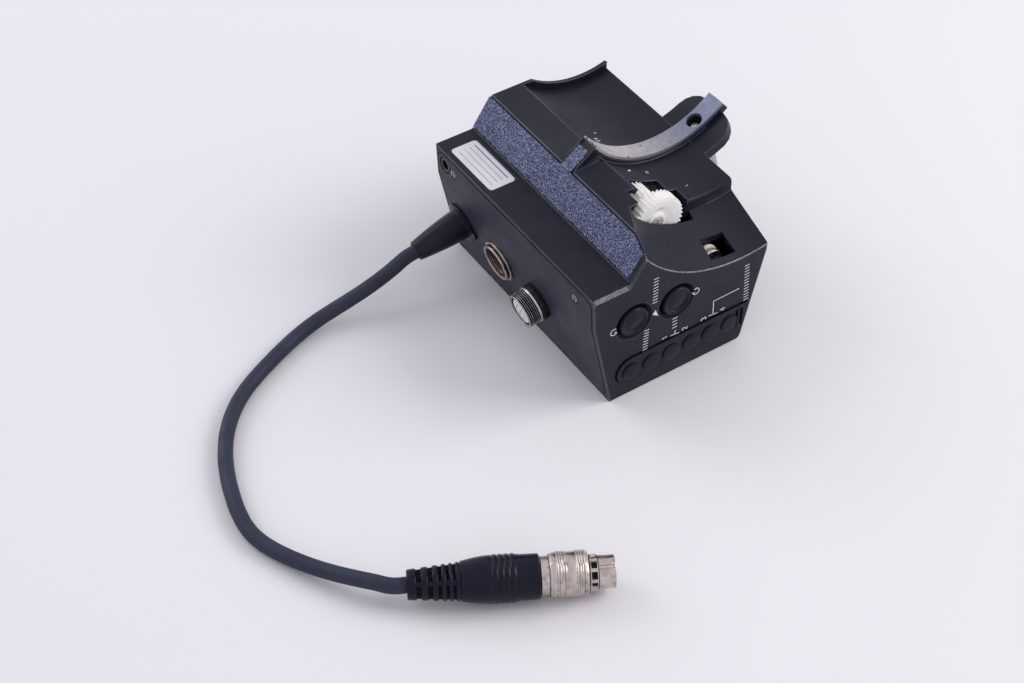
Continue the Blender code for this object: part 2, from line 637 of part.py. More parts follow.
def cavity_outline():
    """Inside of the body in XZ, before the saddle's skin is left standing."""
    floor = COVER_PLATE + GAP + FLOOR_LEDGE
    band_wall = SKIN + BAND_RECESS
    foot_x = BAND_FOOT_X + band_wall * (BAND_RISE + BAND_RUN / 2) / BAND_SLOPE
    top_x = foot_x + BAND_RUN * (BAND_RISE - SKIN) / BAND_RISE
    return [(-side_x(floor) + SIDE_WALL, floor), (side_x(floor) - SKIN, floor),
            (HALF_KNEE - SKIN, KNEE_HEIGHT), (HALF_KNEE - SKIN, SHELF_HEIGHT - SKIN),
            (top_x + BAND_RECESS, SHELF_HEIGHT - SKIN), (foot_x, SHOULDER_HEIGHT - SKIN),
            (-HALF_SHOULDER + SIDE_WALL, SHOULDER_HEIGHT - SKIN),
            (-HALF_KNEE + SIDE_WALL, KNEE_HEIGHT)]


def saddle_solid(name, extra, lip):
    """The barrel space as a turned solid: front cone, step, saddle and rear lip.

    extra widens every radius, to shape the underside of the skin.
    """
    round_over = STEP_ROUNDING if extra == 0.0 else 0.0
    front = FRONT_Y - CUT
    rear = REAR_Y + CUT
    step = STEP_Y + extra
    profile = [(0.0, front), (cone_radius(front) + extra, front), (CONE_REAR_RADIUS + extra, step)]
    if round_over:
        for i in range(ROUNDING_STEPS + 1):
            angle = math.pi / 2 * i / ROUNDING_STEPS
            profile.append((SADDLE_RADIUS + round_over * (1 - math.sin(angle)),
                            STEP_Y + round_over * (1 - math.cos(angle))))
    else:
        profile.append((SADDLE_RADIUS + extra, step))
    if lip:
        profile += [(SADDLE_RADIUS, REAR_Y - REAR_LIP), (BARREL_RADIUS, REAR_Y - REAR_LIP),
                    (BARREL_RADIUS, rear)]
    else:
        profile.append((SADDLE_RADIUS + extra, rear))
    profile.append((0.0, rear))
    mirrored = [(radius, -y) for radius, y in reversed(profile)]
    return turned(name, mirrored, along_y(SADDLE_AXIS_X, 0.0, SADDLE_AXIS_Z), sides=SADDLE_SEGMENTS)


def sector(name, inner, outer, start, end, y_low, y_high, mat=None):
    """Part of a ring round the saddle axis."""
    outline = saddle_arc(outer, start, end) + saddle_arc(inner, end, start)
    return prism_y(name, outline, y_low, y_high, mat)


def gear_outline(teeth, phase):
    """Tooth outline; phase is the direction of one tooth's middle in radians."""
    pitch = MODULE * teeth / 2
    root, tip = pitch - MODULE * ROOT_DEPTH_SHARE, pitch + MODULE
    step = 2 * math.pi / teeth
    points = []
    for i in range(teeth):
        middle = phase + i * step
        for radius, share in zip((root, tip, tip, root), TOOTH_SHARES):
            points.append((radius * math.cos(middle + share * step),
                           radius * math.sin(middle + share * step)))
    return points


def meshed_phase(teeth, other_teeth, other_phase, bearing):
    """Phase of a gear that meshes with another one, which lies at the opposite of bearing.

    bearing is the direction from the other gear to this one.
    """
    share = ((bearing - other_phase) / (2 * math.pi / other_teeth)) % 1.0
    return bearing + math.pi - (0.5 - share) * 2 * math.pi / teeth


def bearing_between(first, second):
    return math.atan2(second[1] - first[1], second[0] - first[0])


def meeting_point(first, second, first_reach, second_reach):
    """The place at the two given distances from two axes, on the lower left side."""
    dx, dz = second[0] - first[0], second[1] - first[1]
    span = math.hypot(dx, dz)
    run = (first_reach ** 2 - second_reach ** 2 + span ** 2) / (2 * span)
    rise = math.sqrt(first_reach ** 2 - run ** 2)
    ux, uz = dx / span, dz / span
    return first[0] + run * ux + rise * uz, first[1] + run * uz - rise * ux


def mesh_distance(first_teeth, second_teeth):
    return MODULE * (first_teeth + second_teeth) / 2 + MESH_SLACK


def axes_of_train():
    """Places (x, z) of the five turning axes."""
    drive = (DRIVE_X, DRIVE_Z)
    clutch = (CLUTCH_X, CLUTCH_Z)
    idler = meeting_point(drive, clutch, mesh_distance(DRIVE_TEETH, IDLER_PINION_TEETH),
                          mesh_distance(IDLER_TEETH, CLUTCH_PINION_TEETH))
    reach = mesh_distance(DRIVE_PINION_TEETH, SENSOR_TEETH)
    turn = math.radians(SENSOR_BEARING)
    sensor = (drive[0] + reach * math.cos(turn), drive[1] + reach * math.sin(turn))
    reach = mesh_distance(CLUTCH_TEETH, MOTOR_TEETH)
    turn = math.radians(MOTOR_BEARING)
    motor = (clutch[0] + reach * math.cos(turn), clutch[1] + reach * math.sin(turn))
    return {"drive": drive, "clutch": clutch, "idler": idler, "sensor": sensor, "motor": motor}


def gear(name, axis, teeth, phase, y_low, y_high, mat):
    """A spur gear on an axis along Y. The phase is seen from the front, at -Y."""
    return add_mesh(name, prism_mesh(gear_outline(teeth, phase), -y_high, -y_low), mat,
                    along_y(axis[0], 0.0, axis[1]))


def bore(target, axis, radius, y_low, y_high, label):
    """Drill a round hole along Y."""
    return cut(target, cylinder_y(f"guide_bore_{label}", axis[0], axis[1], radius, y_low, y_high,
                                  sides=SMALL_SIDES))


def pocket_point(y, z):
    """Place on the panel's upper, nearly vertical face."""
    return Vector((-side_x(z), y, z))


def tongue_point(distance):
    """A place on the clamp screw's axis, measured from the middle of the strip's hole."""
    x, z = saddle_point(BARREL_RADIUS, STRIP_HOLE_ANGLE)
    lean = math.radians(SCREW_LEAN)
    return Vector((x + distance * math.cos(lean), RIB_CENTRE_Y, z + distance * math.sin(lean)))


def screw_direction():
    lean = math.radians(SCREW_LEAN)
    return Vector((math.cos(lean), 0.0, math.sin(lean)))


def cover_right(z):
    """Right end of the trimmer cover at a height: it follows the body's slanted edge."""
    return side_x(z) - COVER_RIGHT_MARGIN


def cover_outline(margin):
    """Outline (x, z) of the trimmer cover: round at the left, slanted at the right."""
    low, high = COVER_BOTTOM - margin, COVER_TOP + margin
    radius = (high - low) / 2
    middle = (high + low) / 2
    centre_x = COVER_LEFT - margin + radius
    points = [(cover_right(low) + margin, low), (cover_right(high) + margin, high)]
    for i in range(COVER_END_STEPS + 1):
        angle = math.pi / 2 + math.pi * i / COVER_END_STEPS
        points.append((centre_x + radius * math.cos(angle), middle + radius * math.sin(angle)))
    return points


def trimmer_places():
    return [TRIMMER_FIRST_X + i * TRIMMER_PITCH for i in range(TRIMMER_COUNT)]


def band_section(low, high, depth, thickness):
    """Cross-section of the band: a bar on the slanted face between two shares of its length.

    depth is how far its underside lies below the face.
    """
    ux, uz = BAND_RUN / BAND_SLOPE, BAND_RISE / BAND_SLOPE
    nx, nz = uz, -ux
    points = []
    for along_slope, below in ((low, depth), (high, depth), (high, depth - thickness),
                               (low, depth - thickness)):
        points.append((BAND_FOOT_X + ux * along_slope + nx * below,
                       SHOULDER_HEIGHT + uz * along_slope + nz * below))
    return points


def ramp_section(low, high, depth, thickness):
    """Cross-section of the band's arm on the rib's ramp."""
    ux, uz = (RIB_TIP_X - BAND_TOP_X) / RAMP_SLOPE, (RIB_TIP_Z - SHELF_HEIGHT) / RAMP_SLOPE
    nx, nz = uz, -ux
    points = []
    for along_slope, below in ((low, depth), (high, depth), (high, depth - thickness),
                               (low, depth - thickness)):
        points.append((BAND_TOP_X + ux * along_slope + nx * below,
                       SHELF_HEIGHT + uz * along_slope + nz * below))
    return points


def window_angles(shaft, radius, reach):
    """Directions from the saddle axis between which a window lies, over a shaft at (x, z)."""
    bearing = math.degrees(bearing_between((SADDLE_AXIS_X, SADDLE_AXIS_Z), shaft))
    left, right = reach
    return bearing - math.degrees(math.asin(left / radius)), bearing + math.degrees(math.asin(right / radius))


def build_housing(mats):
    """The main casting with its saddle, rib, tongue, windows and openings."""
    housing = prism_y("main_housing", body_outline(), FRONT_Y, REAR_Y, mats["housing"])
    cut(housing, saddle_solid("guide_saddle", 0.0, True))

    inner = saddle_arc(STRIP_SEAT, RIB_FROM, RIB_TO)
    outer = saddle_arc(SADDLE_RADIUS + RIB_DEPTH, RIB_TO, RIB_FOOT)
    ramp_rise = (RIB_TIP_Z - SHELF_HEIGHT) / (RIB_TIP_X - BAND_TOP_X)
    ramp_start = (BAND_TOP_X + GAP, SHELF_HEIGHT + GAP * ramp_rise)
    root = [saddle_point(SADDLE_RADIUS + RIB_DEPTH, RIB_ROOT),
            (BAND_TOP_X + RIB_DEPTH, SHELF_HEIGHT - RIB_DEPTH)]
    rib = prism_y("guide_rib", [ramp_start, (RIB_TIP_X, RIB_TIP_Z)] + inner + outer + root, RIB_LOW, RIB_HIGH)
    join(housing, rib)

    tongue_low, tongue_high = RIB_CENTRE_Y - TONGUE_LENGTH / 2, RIB_CENTRE_Y + TONGUE_LENGTH / 2
    tongue = sector("guide_tongue", SADDLE_RADIUS, SADDLE_RADIUS + TONGUE_THICKNESS,
                    TONGUE_ROOT, TONGUE_END, tongue_low, tongue_high)
    middle = math.radians(STRIP_HOLE_ANGLE)
    outward = Vector((math.cos(middle), 0.0, math.sin(middle)))
    reach = SADDLE_RADIUS * math.sin(math.radians(TONGUE_END - STRIP_HOLE_ANGLE))
    trim = add_mesh("guide_tongue_trim",
                    prism_mesh(rounded_rectangle(-BODY_LENGTH, reach, -TONGUE_LENGTH / 2, TONGUE_LENGTH / 2,
                                                 TONGUE_CORNER), SADDLE_RADIUS / 2, SADDLE_RADIUS * 2),
                    None, tangent_frame(outward))
    keep_inside(tongue, trim)
    join(housing, tongue)

    hole = turned("guide_strip_hole", [(0.0, -CUT * 2), (STRIP_HOLE_RADIUS, -CUT * 2),
                                       (STRIP_HOLE_RADIUS, SCREW_COLLAR_START), (0.0, SCREW_COLLAR_START)],
                  along(tongue_point(0.0), screw_direction()), sides=ROUND_SIDES)
    cut(housing, hole)

    cavity = prism_y("guide_cavity", cavity_outline(), FRONT_INNER_Y, REAR_INNER_Y)
    cut(cavity, saddle_solid("guide_saddle_skin", SKIN, False))
    cut(housing, cavity)

    opening_x = COVER_PLATE_HALF_WIDTH - OPENING_MARGIN
    opening_y = COVER_PLATE_HALF_LENGTH - OPENING_MARGIN
    cut(housing, add_mesh("guide_base_opening",
                          prism_mesh(rounded_rectangle(-opening_x, opening_x, -opening_y, opening_y,
                                                       COVER_PLATE_CORNER), -CUT, COVER_PLATE * 3)))
    seat_x, seat_y = COVER_PLATE_HALF_WIDTH + GAP, COVER_PLATE_HALF_LENGTH + GAP
    cut(housing, add_mesh("guide_base_seat",
                          prism_mesh(rounded_rectangle(-seat_x, seat_x, -seat_y, seat_y,
                                                       COVER_PLATE_CORNER + GAP), -CUT, COVER_PLATE + GAP)))

    cut(housing, panel_solid("guide_panel_seat", PANEL_THICKNESS + GAP, GAP, CUT))
    window_y = HALF_LENGTH - PANEL_END_MARGIN - PANEL_WINDOW_MARGIN
    cut(housing, add_mesh("guide_panel_window",
                          prism_mesh(rounded_rectangle(-window_y, window_y, PANEL_WINDOW_BOTTOM,
                                                       PANEL_WINDOW_TOP, PANEL_CORNER), -HALF_SHOULDER - CUT,
                                     -HALF_BASE + SIDE_WALL), None, along_x()))
    cut(housing, screw_tool("guide_side_socket_hole", pocket_point(SIDE_SOCKET_Y, SIDE_SOCKET_HEIGHT),
                            SIDE_SOCKET_RADIUS + GAP, SIDE_WALL + CUT))
    for label, y in (("front", FRONT_SCREW_Y), ("rear", REAR_SCREW_Y)):
        cut(housing, screw_tool(f"guide_ledge_hole_{label}", pocket_point(y, PANEL_SCREW_HEIGHT),
                                PANEL_SCREW_SHANK + GAP, SIDE_WALL + CUT))

    drive, clutch = (DRIVE_X, DRIVE_Z), (CLUTCH_X, CLUTCH_Z)
    for label, shaft, radius, reach, low, high in (
            ("cone", drive, SADDLE_RADIUS, WINDOW_CONE_REACH, WINDOW_FRONT_Y, STEP_Y),
            ("mid", drive, SADDLE_RADIUS, WINDOW_MID_REACH, STEP_Y - GAP, WINDOW_MID_Y),
            ("rear", drive, SADDLE_RADIUS, WINDOW_REAR_REACH, WINDOW_MID_Y - GAP, WINDOW_REAR_Y),
            ("square", clutch, CONE_FRONT_RADIUS, SQUARE_WINDOW_REACH, SQUARE_WINDOW_FRONT_Y,
             SQUARE_WINDOW_REAR_Y)):
        cut(housing, sector(f"guide_window_{label}", BARREL_RADIUS, CONE_FRONT_RADIUS + SKIN + CUT,
                            *window_angles(shaft, radius, reach), low, high))

    cut(housing, prism_y("guide_band_seat",
                         band_section(BAND_FOOT_MARGIN, BAND_SLOPE + CUT, BAND_RECESS, BAND_RECESS + CUT),
                         FRONT_Y + BAND_END_MARGIN, REAR_Y + CUT))
    cut(housing, prism_y("guide_arm_seat",
                         ramp_section(-CUT, RAMP_SLOPE - ARM_MARGIN, BAND_RECESS, BAND_RECESS + CUT),
                         RIB_LOW + ARM_MARGIN, RIB_HIGH - ARM_MARGIN))
    cut(housing, add_mesh("guide_label_seat", prism_mesh(label_outline(GAP), SHOULDER_HEIGHT - LABEL_RECESS,
                                                         SHOULDER_HEIGHT + CUT)))

    for label, x in (("left", LEFT_BUTTON_X), ("right", RIGHT_BUTTON_X)):
        profile = [(0.0, -CUT), (BUTTON_RADIUS + BUTTON_DISH + GAP * 2, -CUT),
                   (BUTTON_RADIUS + BUTTON_DISH + GAP * 2, 0.0), (BUTTON_RADIUS + GAP, BUTTON_DISH),
                   (BUTTON_RADIUS + GAP, END_WALL + CUT), (0.0, END_WALL + CUT)]
        cut(housing, turned(f"guide_button_hole_{label}", profile,
                            along((x, FRONT_Y, BUTTON_HEIGHT), (0, 1, 0))))
    cut(housing, prism_y("guide_cover_seat", cover_outline(GAP), FRONT_Y - CUT, FRONT_Y + COVER_RECESS))
    for i, x in enumerate(trimmer_places()):
        cut(housing, cylinder_y(f"guide_trimmer_hole_{i + 1}", x, TRIMMER_HEIGHT, TRIMMER_HOLE,
                                FRONT_Y - CUT, FRONT_INNER_Y + CUT / 4, sides=SMALL_SIDES))
    for i, (x, z) in enumerate(boss_places()):
        join(housing, cylinder_y(f"guide_boss_{i + 1}", x, z, BOSS_RADIUS, FRONT_INNER_Y - GAP,
                                 CONTROL_BOARD_Y - GAP, sides=SMALL_SIDES))
    bearing = turned("guide_clutch_bearing",
                     [(AXLE_RADIUS + RUNNING, 0.0), (BEARING_RADIUS, 0.0),
                      (BEARING_RADIUS, GAP + BEARING_LENGTH), (AXLE_RADIUS + RUNNING, GAP + BEARING_LENGTH)],
                     along((CLUTCH_X, FRONT_INNER_Y - GAP, CLUTCH_Z), (0, 1, 0)), sides=SMALL_SIDES)
    join(housing, bearing)
    for i, (x, y) in enumerate(base_screw_places()):
        cut(housing, add_mesh(f"guide_base_thread_{i + 1}",
                              prism_mesh(circle(BASE_SCREW_SHANK + GAP, SMALL_SIDES, centre=(x, y)), -CUT,
                                         COVER_PLATE + GAP + FLOOR_LEDGE + CUT)))


def label_outline(margin):
    """Outline (x, y) of the label, widened by a margin."""
    across, along_label = LABEL_WIDTH / 2 + margin, LABEL_LENGTH / 2 + margin
    return rounded_rectangle(LABEL_CENTRE_X - across, LABEL_CENTRE_X + across,
                             LABEL_CENTRE_Y - along_label, LABEL_CENTRE_Y + along_label,
                             LABEL_CORNER + margin)


def tangent_frame(outward):
    """Frame at the saddle axis: Z outward, X round the saddle towards the tongue's end, Y as Y."""
    z_axis = Vector(outward)
    y_axis = Vector((0.0, -1.0, 0.0))
    x_axis = y_axis.cross(z_axis)
    turn = Matrix((x_axis, y_axis, z_axis)).transposed().to_4x4()
    return Matrix.Translation((SADDLE_AXIS_X, RIB_CENTRE_Y, SADDLE_AXIS_Z)) @ turn


def boss_places():
    """Places (x, z) of the three posts that carry the control board."""
    between = (LEFT_BUTTON_X + RIGHT_BUTTON_X) / 2
    return [(between, CONTROL_BOARD_TOP - BOSS_INSET),
            (between, CONTROL_BOARD_STEP_Z - BOSS_INSET),
            (CONTROL_BOARD_RIGHT - BOSS_INSET, CONTROL_BOARD_STEP_Z - BOSS_INSET)]


def base_screw_places():
    x = COVER_PLATE_HALF_WIDTH - BASE_SCREW_INSET
    y = COVER_PLATE_HALF_LENGTH - BASE_SCREW_END_INSET
    return [(-x, -y), (x, -y), (x, y), (-x, y)]


def panel_solid(name, depth, margin, above, mat=None):
    """The bent side plate: its outside is the body's outside, its edge is a rounded rectangle.

    margin widens the edge, above lets a cutter stand proud of the body.
    """
    low, high = PANEL_BOTTOM - margin, PANEL_TOP + margin
    lean = Vector((-PANEL_NORMAL.x, -PANEL_NORMAL.z))
    heights = (low - CUT, KNEE_HEIGHT, high + CUT)
    outer, inner = [], []
    for z in heights:
        x = -side_x(z)
        outer.append((x - above, z))
        inner.append((x + depth / lean.x, z))
    blank = prism_y(name, outer + list(reversed(inner)), FRONT_Y - CUT, REAR_Y + CUT, mat)
    end = HALF_LENGTH - PANEL_END_MARGIN + margin
    edge = add_mesh(f"{name}_edge" if name.startswith("guide") else f"guide_{name}_edge",
                    prism_mesh(rounded_rectangle(-end, end, low, high, PANEL_CORNER + margin),
                               -HALF_SHOULDER - CUT * 2, 0.0), None, along_x())
    return keep_inside(blank, edge)


def screw_tool(name, place, radius, depth):
    """A hole into the panel's upper face, along X."""
    return turned(name, [(0.0, -CUT), (radius, -CUT), (radius, depth), (0.0, depth)],
                  along(place, (1, 0, 0)), sides=SMALL_SIDES)


def build_shell(mats):
    """Connector panel, base cover, band, label, strip and their screws."""
    panel = panel_solid("connector_panel", PANEL_THICKNESS, 0.0, 0.0, mats["panel"])
    for label, y, radius in (("gland", GLAND_Y, GLAND_TAIL_RADIUS), ("ring", RING_SOCKET_Y, RING_BODY_RADIUS),
                             ("thread", THREAD_SOCKET_Y, THREAD_BODY_RADIUS)):
        cut(panel, turned(f"guide_panel_hole_{label}",
                          [(0.0, -PANEL_THICKNESS - CUT), (radius + GAP, -PANEL_THICKNESS - CUT),
                           (radius + GAP, CUT), (0.0, CUT)], panel_frame(y)))
    cut(panel, screw_tool("guide_panel_side_socket", pocket_point(SIDE_SOCKET_Y, SIDE_SOCKET_HEIGHT),
                          SIDE_SOCKET_RADIUS + GAP, SIDE_WALL + CUT))
    for label, y in (("front", FRONT_SCREW_Y), ("rear", REAR_SCREW_Y)):
        place = pocket_point(y, PANEL_SCREW_HEIGHT)
        cut(panel, turned(f"guide_panel_screw_{label}",
                          [(0.0, -CUT), (PANEL_SCREW_HEAD + GAP, -CUT),
                           (PANEL_SCREW_HEAD + GAP, PANEL_SCREW_HEAD_DEPTH + GAP),
                           (PANEL_SCREW_SHANK + GAP, PANEL_SCREW_HEAD_DEPTH + GAP),
                           (PANEL_SCREW_SHANK + GAP, SIDE_WALL + CUT), (0.0, SIDE_WALL + CUT)],
                          along(place, (1, 0, 0)), sides=SMALL_SIDES))
        screw = turned(f"panel_screw_{label}",
                       [(0.0, 0.0), (PANEL_SCREW_HEAD, 0.0), (PANEL_SCREW_HEAD, PANEL_SCREW_HEAD_DEPTH),
                        (PANEL_SCREW_SHANK, PANEL_SCREW_HEAD_DEPTH), (PANEL_SCREW_SHANK, PANEL_SCREW_LENGTH),
                        (0.0, PANEL_SCREW_LENGTH)], along(place, (1, 0, 0)), mats["steel"], SMALL_SIDES)
        slot = box(f"guide_panel_screw_slot_{label}",
                   (place.x - CUT, place.y - SCREW_SLOT / 2, place.z - CUT),
                   (place.x + PANEL_SCREW_HEAD_DEPTH / 2, place.y + SCREW_SLOT / 2, place.z + CUT))
        cut(screw, slot)

    socket_place = pocket_point(SIDE_SOCKET_Y, SIDE_SOCKET_HEIGHT)
    turned("side_socket",
           [(0.0, SIDE_SOCKET_DEPTH - SOCKET_FLOOR), (SIDE_SOCKET_BORE, SIDE_SOCKET_DEPTH - SOCKET_FLOOR),
            (SIDE_SOCKET_BORE, SIDE_SOCKET_SINK), (SIDE_SOCKET_RADIUS, SIDE_SOCKET_SINK),
            (SIDE_SOCKET_RADIUS, SIDE_SOCKET_DEPTH), (0.0, SIDE_SOCKET_DEPTH)],
           along(socket_place, (1, 0, 0)), mats["nickel"])

    cover = add_mesh("base_cover", prism_mesh(
        rounded_rectangle(-COVER_PLATE_HALF_WIDTH, COVER_PLATE_HALF_WIDTH, -COVER_PLATE_HALF_LENGTH,
                          COVER_PLATE_HALF_LENGTH, COVER_PLATE_CORNER), 0.0, COVER_PLATE), mats["housing"])
    for i, (x, y) in enumerate(standoff_places()):
        join(cover, add_mesh(f"guide_standoff_{i + 1}",
                             prism_mesh(circle(STANDOFF_RADIUS, SMALL_SIDES, centre=(x, y)),
                                        COVER_PLATE - GAP, MAIN_BOARD_HEIGHT - GAP)))
    for i, (x, y) in enumerate(base_screw_places()):
        cut(cover, turned(f"guide_cover_hole_{i + 1}",
                          [(0.0, -CUT), (BASE_SCREW_HEAD + GAP, -CUT),
                           (BASE_SCREW_HEAD + GAP, BASE_SCREW_HEAD_DEPTH + GAP * 2),
                           (BASE_SCREW_SHANK + GAP, BASE_SCREW_HEAD_DEPTH + GAP * 2),
                           (BASE_SCREW_SHANK + GAP, COVER_PLATE + CUT), (0.0, COVER_PLATE + CUT)],
                          Matrix.Translation((x, y, 0.0)), sides=SMALL_SIDES))
        turned(f"base_screw_{i + 1}",
               [(0.0, GAP), (BASE_SCREW_HEAD, GAP), (BASE_SCREW_HEAD, BASE_SCREW_HEAD_DEPTH),
                (BASE_SCREW_SHANK, BASE_SCREW_HEAD_DEPTH + GAP), (BASE_SCREW_SHANK, BASE_SCREW_LENGTH),
                (0.0, BASE_SCREW_LENGTH)],
               Matrix.Translation((x, y, 0.0)), mats["steel"], SMALL_SIDES // 2)

    under = BAND_RECESS - GAP
    band = prism_y("deco_band", band_section(BAND_FOOT_MARGIN + GAP, BAND_SLOPE - GAP, under, BAND_THICKNESS),
                   FRONT_Y + BAND_END_MARGIN + GAP, REAR_Y - GAP, mats["band"])
    arm_section = ramp_section(-BAND_RECESS / 2, RAMP_SLOPE - ARM_MARGIN - GAP, under, BAND_THICKNESS)
    arm = prism_y("guide_arm", arm_section, RIB_LOW + ARM_MARGIN + GAP, RIB_HIGH - ARM_MARGIN - GAP)
    join(band, arm)
    cut(band, saddle_solid("guide_band_trim", GAP * 2, False))
    under = SHOULDER_HEIGHT - LABEL_RECESS + GAP
    add_mesh("label_plate", prism_mesh(label_outline(0.0), under, under + LABEL_THICKNESS), mats["label"])

    strip = sector("saddle_strip", BARREL_RADIUS, BARREL_RADIUS + STRIP_THICKNESS, RIB_FROM, RIB_TO,
                   RIB_LOW, RIB_HIGH, mats["aluminium"])
    cut(strip, turned("guide_strip_bore", [(0.0, -CUT * 2), (STRIP_HOLE_RADIUS, -CUT * 2),
                                           (STRIP_HOLE_RADIUS, CUT * 2), (0.0, CUT * 2)],
                      along(tongue_point(0.0), screw_direction()), sides=ROUND_SIDES))


def main_board_right():
    """Right-hand edge of the main board, which stays clear of the motor."""
    return axes_of_train()["motor"][0] - MOTOR_RADIUS - MAIN_BOARD_MOTOR_GAP


def standoff_places():
    """Places (x, y) of the four posts under the main board."""
    left, right = MAIN_BOARD_LEFT + STANDOFF_INSET, main_board_right() - STANDOFF_INSET
    front, rear = MAIN_BOARD_FRONT + STANDOFF_INSET, MAIN_BOARD_REAR - STANDOFF_INSET
    return [(left, front), (right, front), (right, rear), (left, rear)]


def build_clamp(mats):
    """Captive thumb screw under the tongue and the washer that rides on its collar."""
    profile = [(0.0, SCREW_SHANK_START), (SCREW_SHANK_RADIUS, SCREW_SHANK_START),
               (SCREW_SHANK_RADIUS, SCREW_COLLAR_START), (SCREW_COLLAR_RADIUS, SCREW_COLLAR_START),
               (SCREW_COLLAR_RADIUS, SCREW_HEAD_START), (0.0, SCREW_HEAD_START)]
    frame = along(tongue_point(0.0), screw_direction())
    screw = turned("clamp_screw", profile, frame, mats["steel"])
    knurl = []
    for i in range(SCREW_KNURLS * 2):
        radius = SCREW_HEAD_RADIUS - (KNURL_DEPTH if i % 2 else 0.0)
        angle = math.pi * i / SCREW_KNURLS
        knurl.append((radius * math.cos(angle), radius * math.sin(angle)))
    join(screw, add_mesh("guide_clamp_head", prism_mesh(knurl, SCREW_HEAD_START - GAP,
                                                        SCREW_HEAD_START + SCREW_HEAD_LENGTH), None, frame))
    washer_bore = SCREW_SHANK_RADIUS + RUNNING
    washer_end = SCREW_COLLAR_START - GAP
    washer_start = washer_end - WASHER_THICKNESS
    turned("screw_washer", [(washer_bore, washer_start), (WASHER_RADIUS, washer_start),
                            (WASHER_RADIUS, washer_end), (washer_bore, washer_end)], frame,
           mats["steel"], SMALL_SIDES)


def build_sockets(mats):
    """Gland, ring socket and threaded socket on the slanted panel."""
    below = PANEL_THICKNESS + GAP
    turned("cable_boot",
           [(0.0, -GLAND_TAIL), (GLAND_TAIL_RADIUS, -GLAND_TAIL), (GLAND_TAIL_RADIUS, GAP),
            (GLAND_FLANGE_RADIUS, GAP), (GLAND_FLANGE_RADIUS, GAP + GLAND_FLANGE),
            (BOOT_BASE_RADIUS, GAP + GLAND_FLANGE)]
           + [(BOOT_BASE_RADIUS + (BOOT_TIP_RADIUS - BOOT_BASE_RADIUS) * share ** BOOT_CURVE_SHARE,
               GAP + GLAND_FLANGE + (BOOT_LENGTH - GAP - GLAND_FLANGE) * share)
              for share in BOOT_TAPER_SHARES]
           + [(BOOT_TIP_RADIUS, BOOT_LENGTH), (0.0, BOOT_LENGTH)],
           panel_frame(GLAND_Y), mats["rubber"])
    nut_bar = prism_mesh(circle(GLAND_NUT_RADIUS, NUT_SIDES), -GLAND_TAIL, -below)
    nut = add_mesh("gland_nut", nut_bar, mats["nickel"], panel_frame(GLAND_Y))
    cut(nut, turned("guide_nut_bore", [(0.0, -GLAND_TAIL - CUT), (GLAND_TAIL_RADIUS + GAP, -GLAND_TAIL - CUT),
                                       (GLAND_TAIL_RADIUS + GAP, CUT), (0.0, CUT)], panel_frame(GLAND_Y)))

    turned("ring_socket_shell",
           [(0.0, -RING_DEPTH), (RING_BODY_RADIUS, -RING_DEPTH), (RING_BODY_RADIUS, GAP),
            (RING_FLANGE_RADIUS, GAP), (RING_FLANGE_RADIUS, RING_FLANGE),
            (RING_RIM_RADIUS, RING_FLANGE + GAP),
            (RING_RIM_RADIUS, RING_HEIGHT - GAP), (RING_RIM_RADIUS - GAP, RING_HEIGHT),
            (RING_BORE + GAP, RING_HEIGHT), (RING_BORE, RING_HEIGHT - GAP),
            (RING_BORE, -RING_DEPTH + SOCKET_FLOOR), (0.0, -RING_DEPTH + SOCKET_FLOOR)],
           panel_frame(RING_SOCKET_Y), mats["nickel"])
    turned("ring_socket_insert",
           [(0.0, -RING_DEPTH + SOCKET_FLOOR + GAP), (RING_BORE - GAP, -RING_DEPTH + SOCKET_FLOOR + GAP),
            (RING_BORE - GAP, -RING_INSERT_DEPTH), (0.0, -RING_INSERT_DEPTH)],
           panel_frame(RING_SOCKET_Y), mats["insert"])

    pitch = (THREAD_HEIGHT - COLLAR_HEIGHT - GAP * 2) / THREAD_RIDGES
    ridges = []
    for i in range(THREAD_RIDGES):
        low = COLLAR_HEIGHT + GAP * 2 + i * pitch
        ridges += [(THREAD_RADIUS - THREAD_DEPTH, low), (THREAD_RADIUS, low + pitch / 2)]
    ridges.append((THREAD_RADIUS - THREAD_DEPTH, THREAD_HEIGHT))
    turned("thread_socket_shell",
           [(0.0, -THREAD_BODY_DEPTH), (THREAD_BODY_RADIUS, -THREAD_BODY_DEPTH),
            (THREAD_BODY_RADIUS, COLLAR_HEIGHT + GAP * 2)] + ridges
           + [(THREAD_BORE, THREAD_HEIGHT), (THREAD_BORE, -THREAD_BODY_DEPTH + SOCKET_FLOOR),
              (0.0, -THREAD_BODY_DEPTH + SOCKET_FLOOR)], panel_frame(THREAD_SOCKET_Y), mats["chrome"])
    turned("thread_socket_collar",
           [(THREAD_BODY_RADIUS + GAP, GAP), (COLLAR_RADIUS, GAP), (COLLAR_RADIUS, COLLAR_HEIGHT),
            (COLLAR_RADIUS - GAP, GAP + COLLAR_HEIGHT), (THREAD_BODY_RADIUS + GAP, GAP + COLLAR_HEIGHT)],
           panel_frame(THREAD_SOCKET_Y), mats["black_metal"])
    turned("thread_socket_insert",
           [(0.0, -THREAD_BODY_DEPTH + SOCKET_FLOOR + GAP),
            (THREAD_BORE - GAP, -THREAD_BODY_DEPTH + SOCKET_FLOOR + GAP),
            (THREAD_BORE - GAP, THREAD_HEIGHT - THREAD_INSERT_SINK),
            (0.0, THREAD_HEIGHT - THREAD_INSERT_SINK)],
           panel_frame(THREAD_SOCKET_Y), mats["white"])


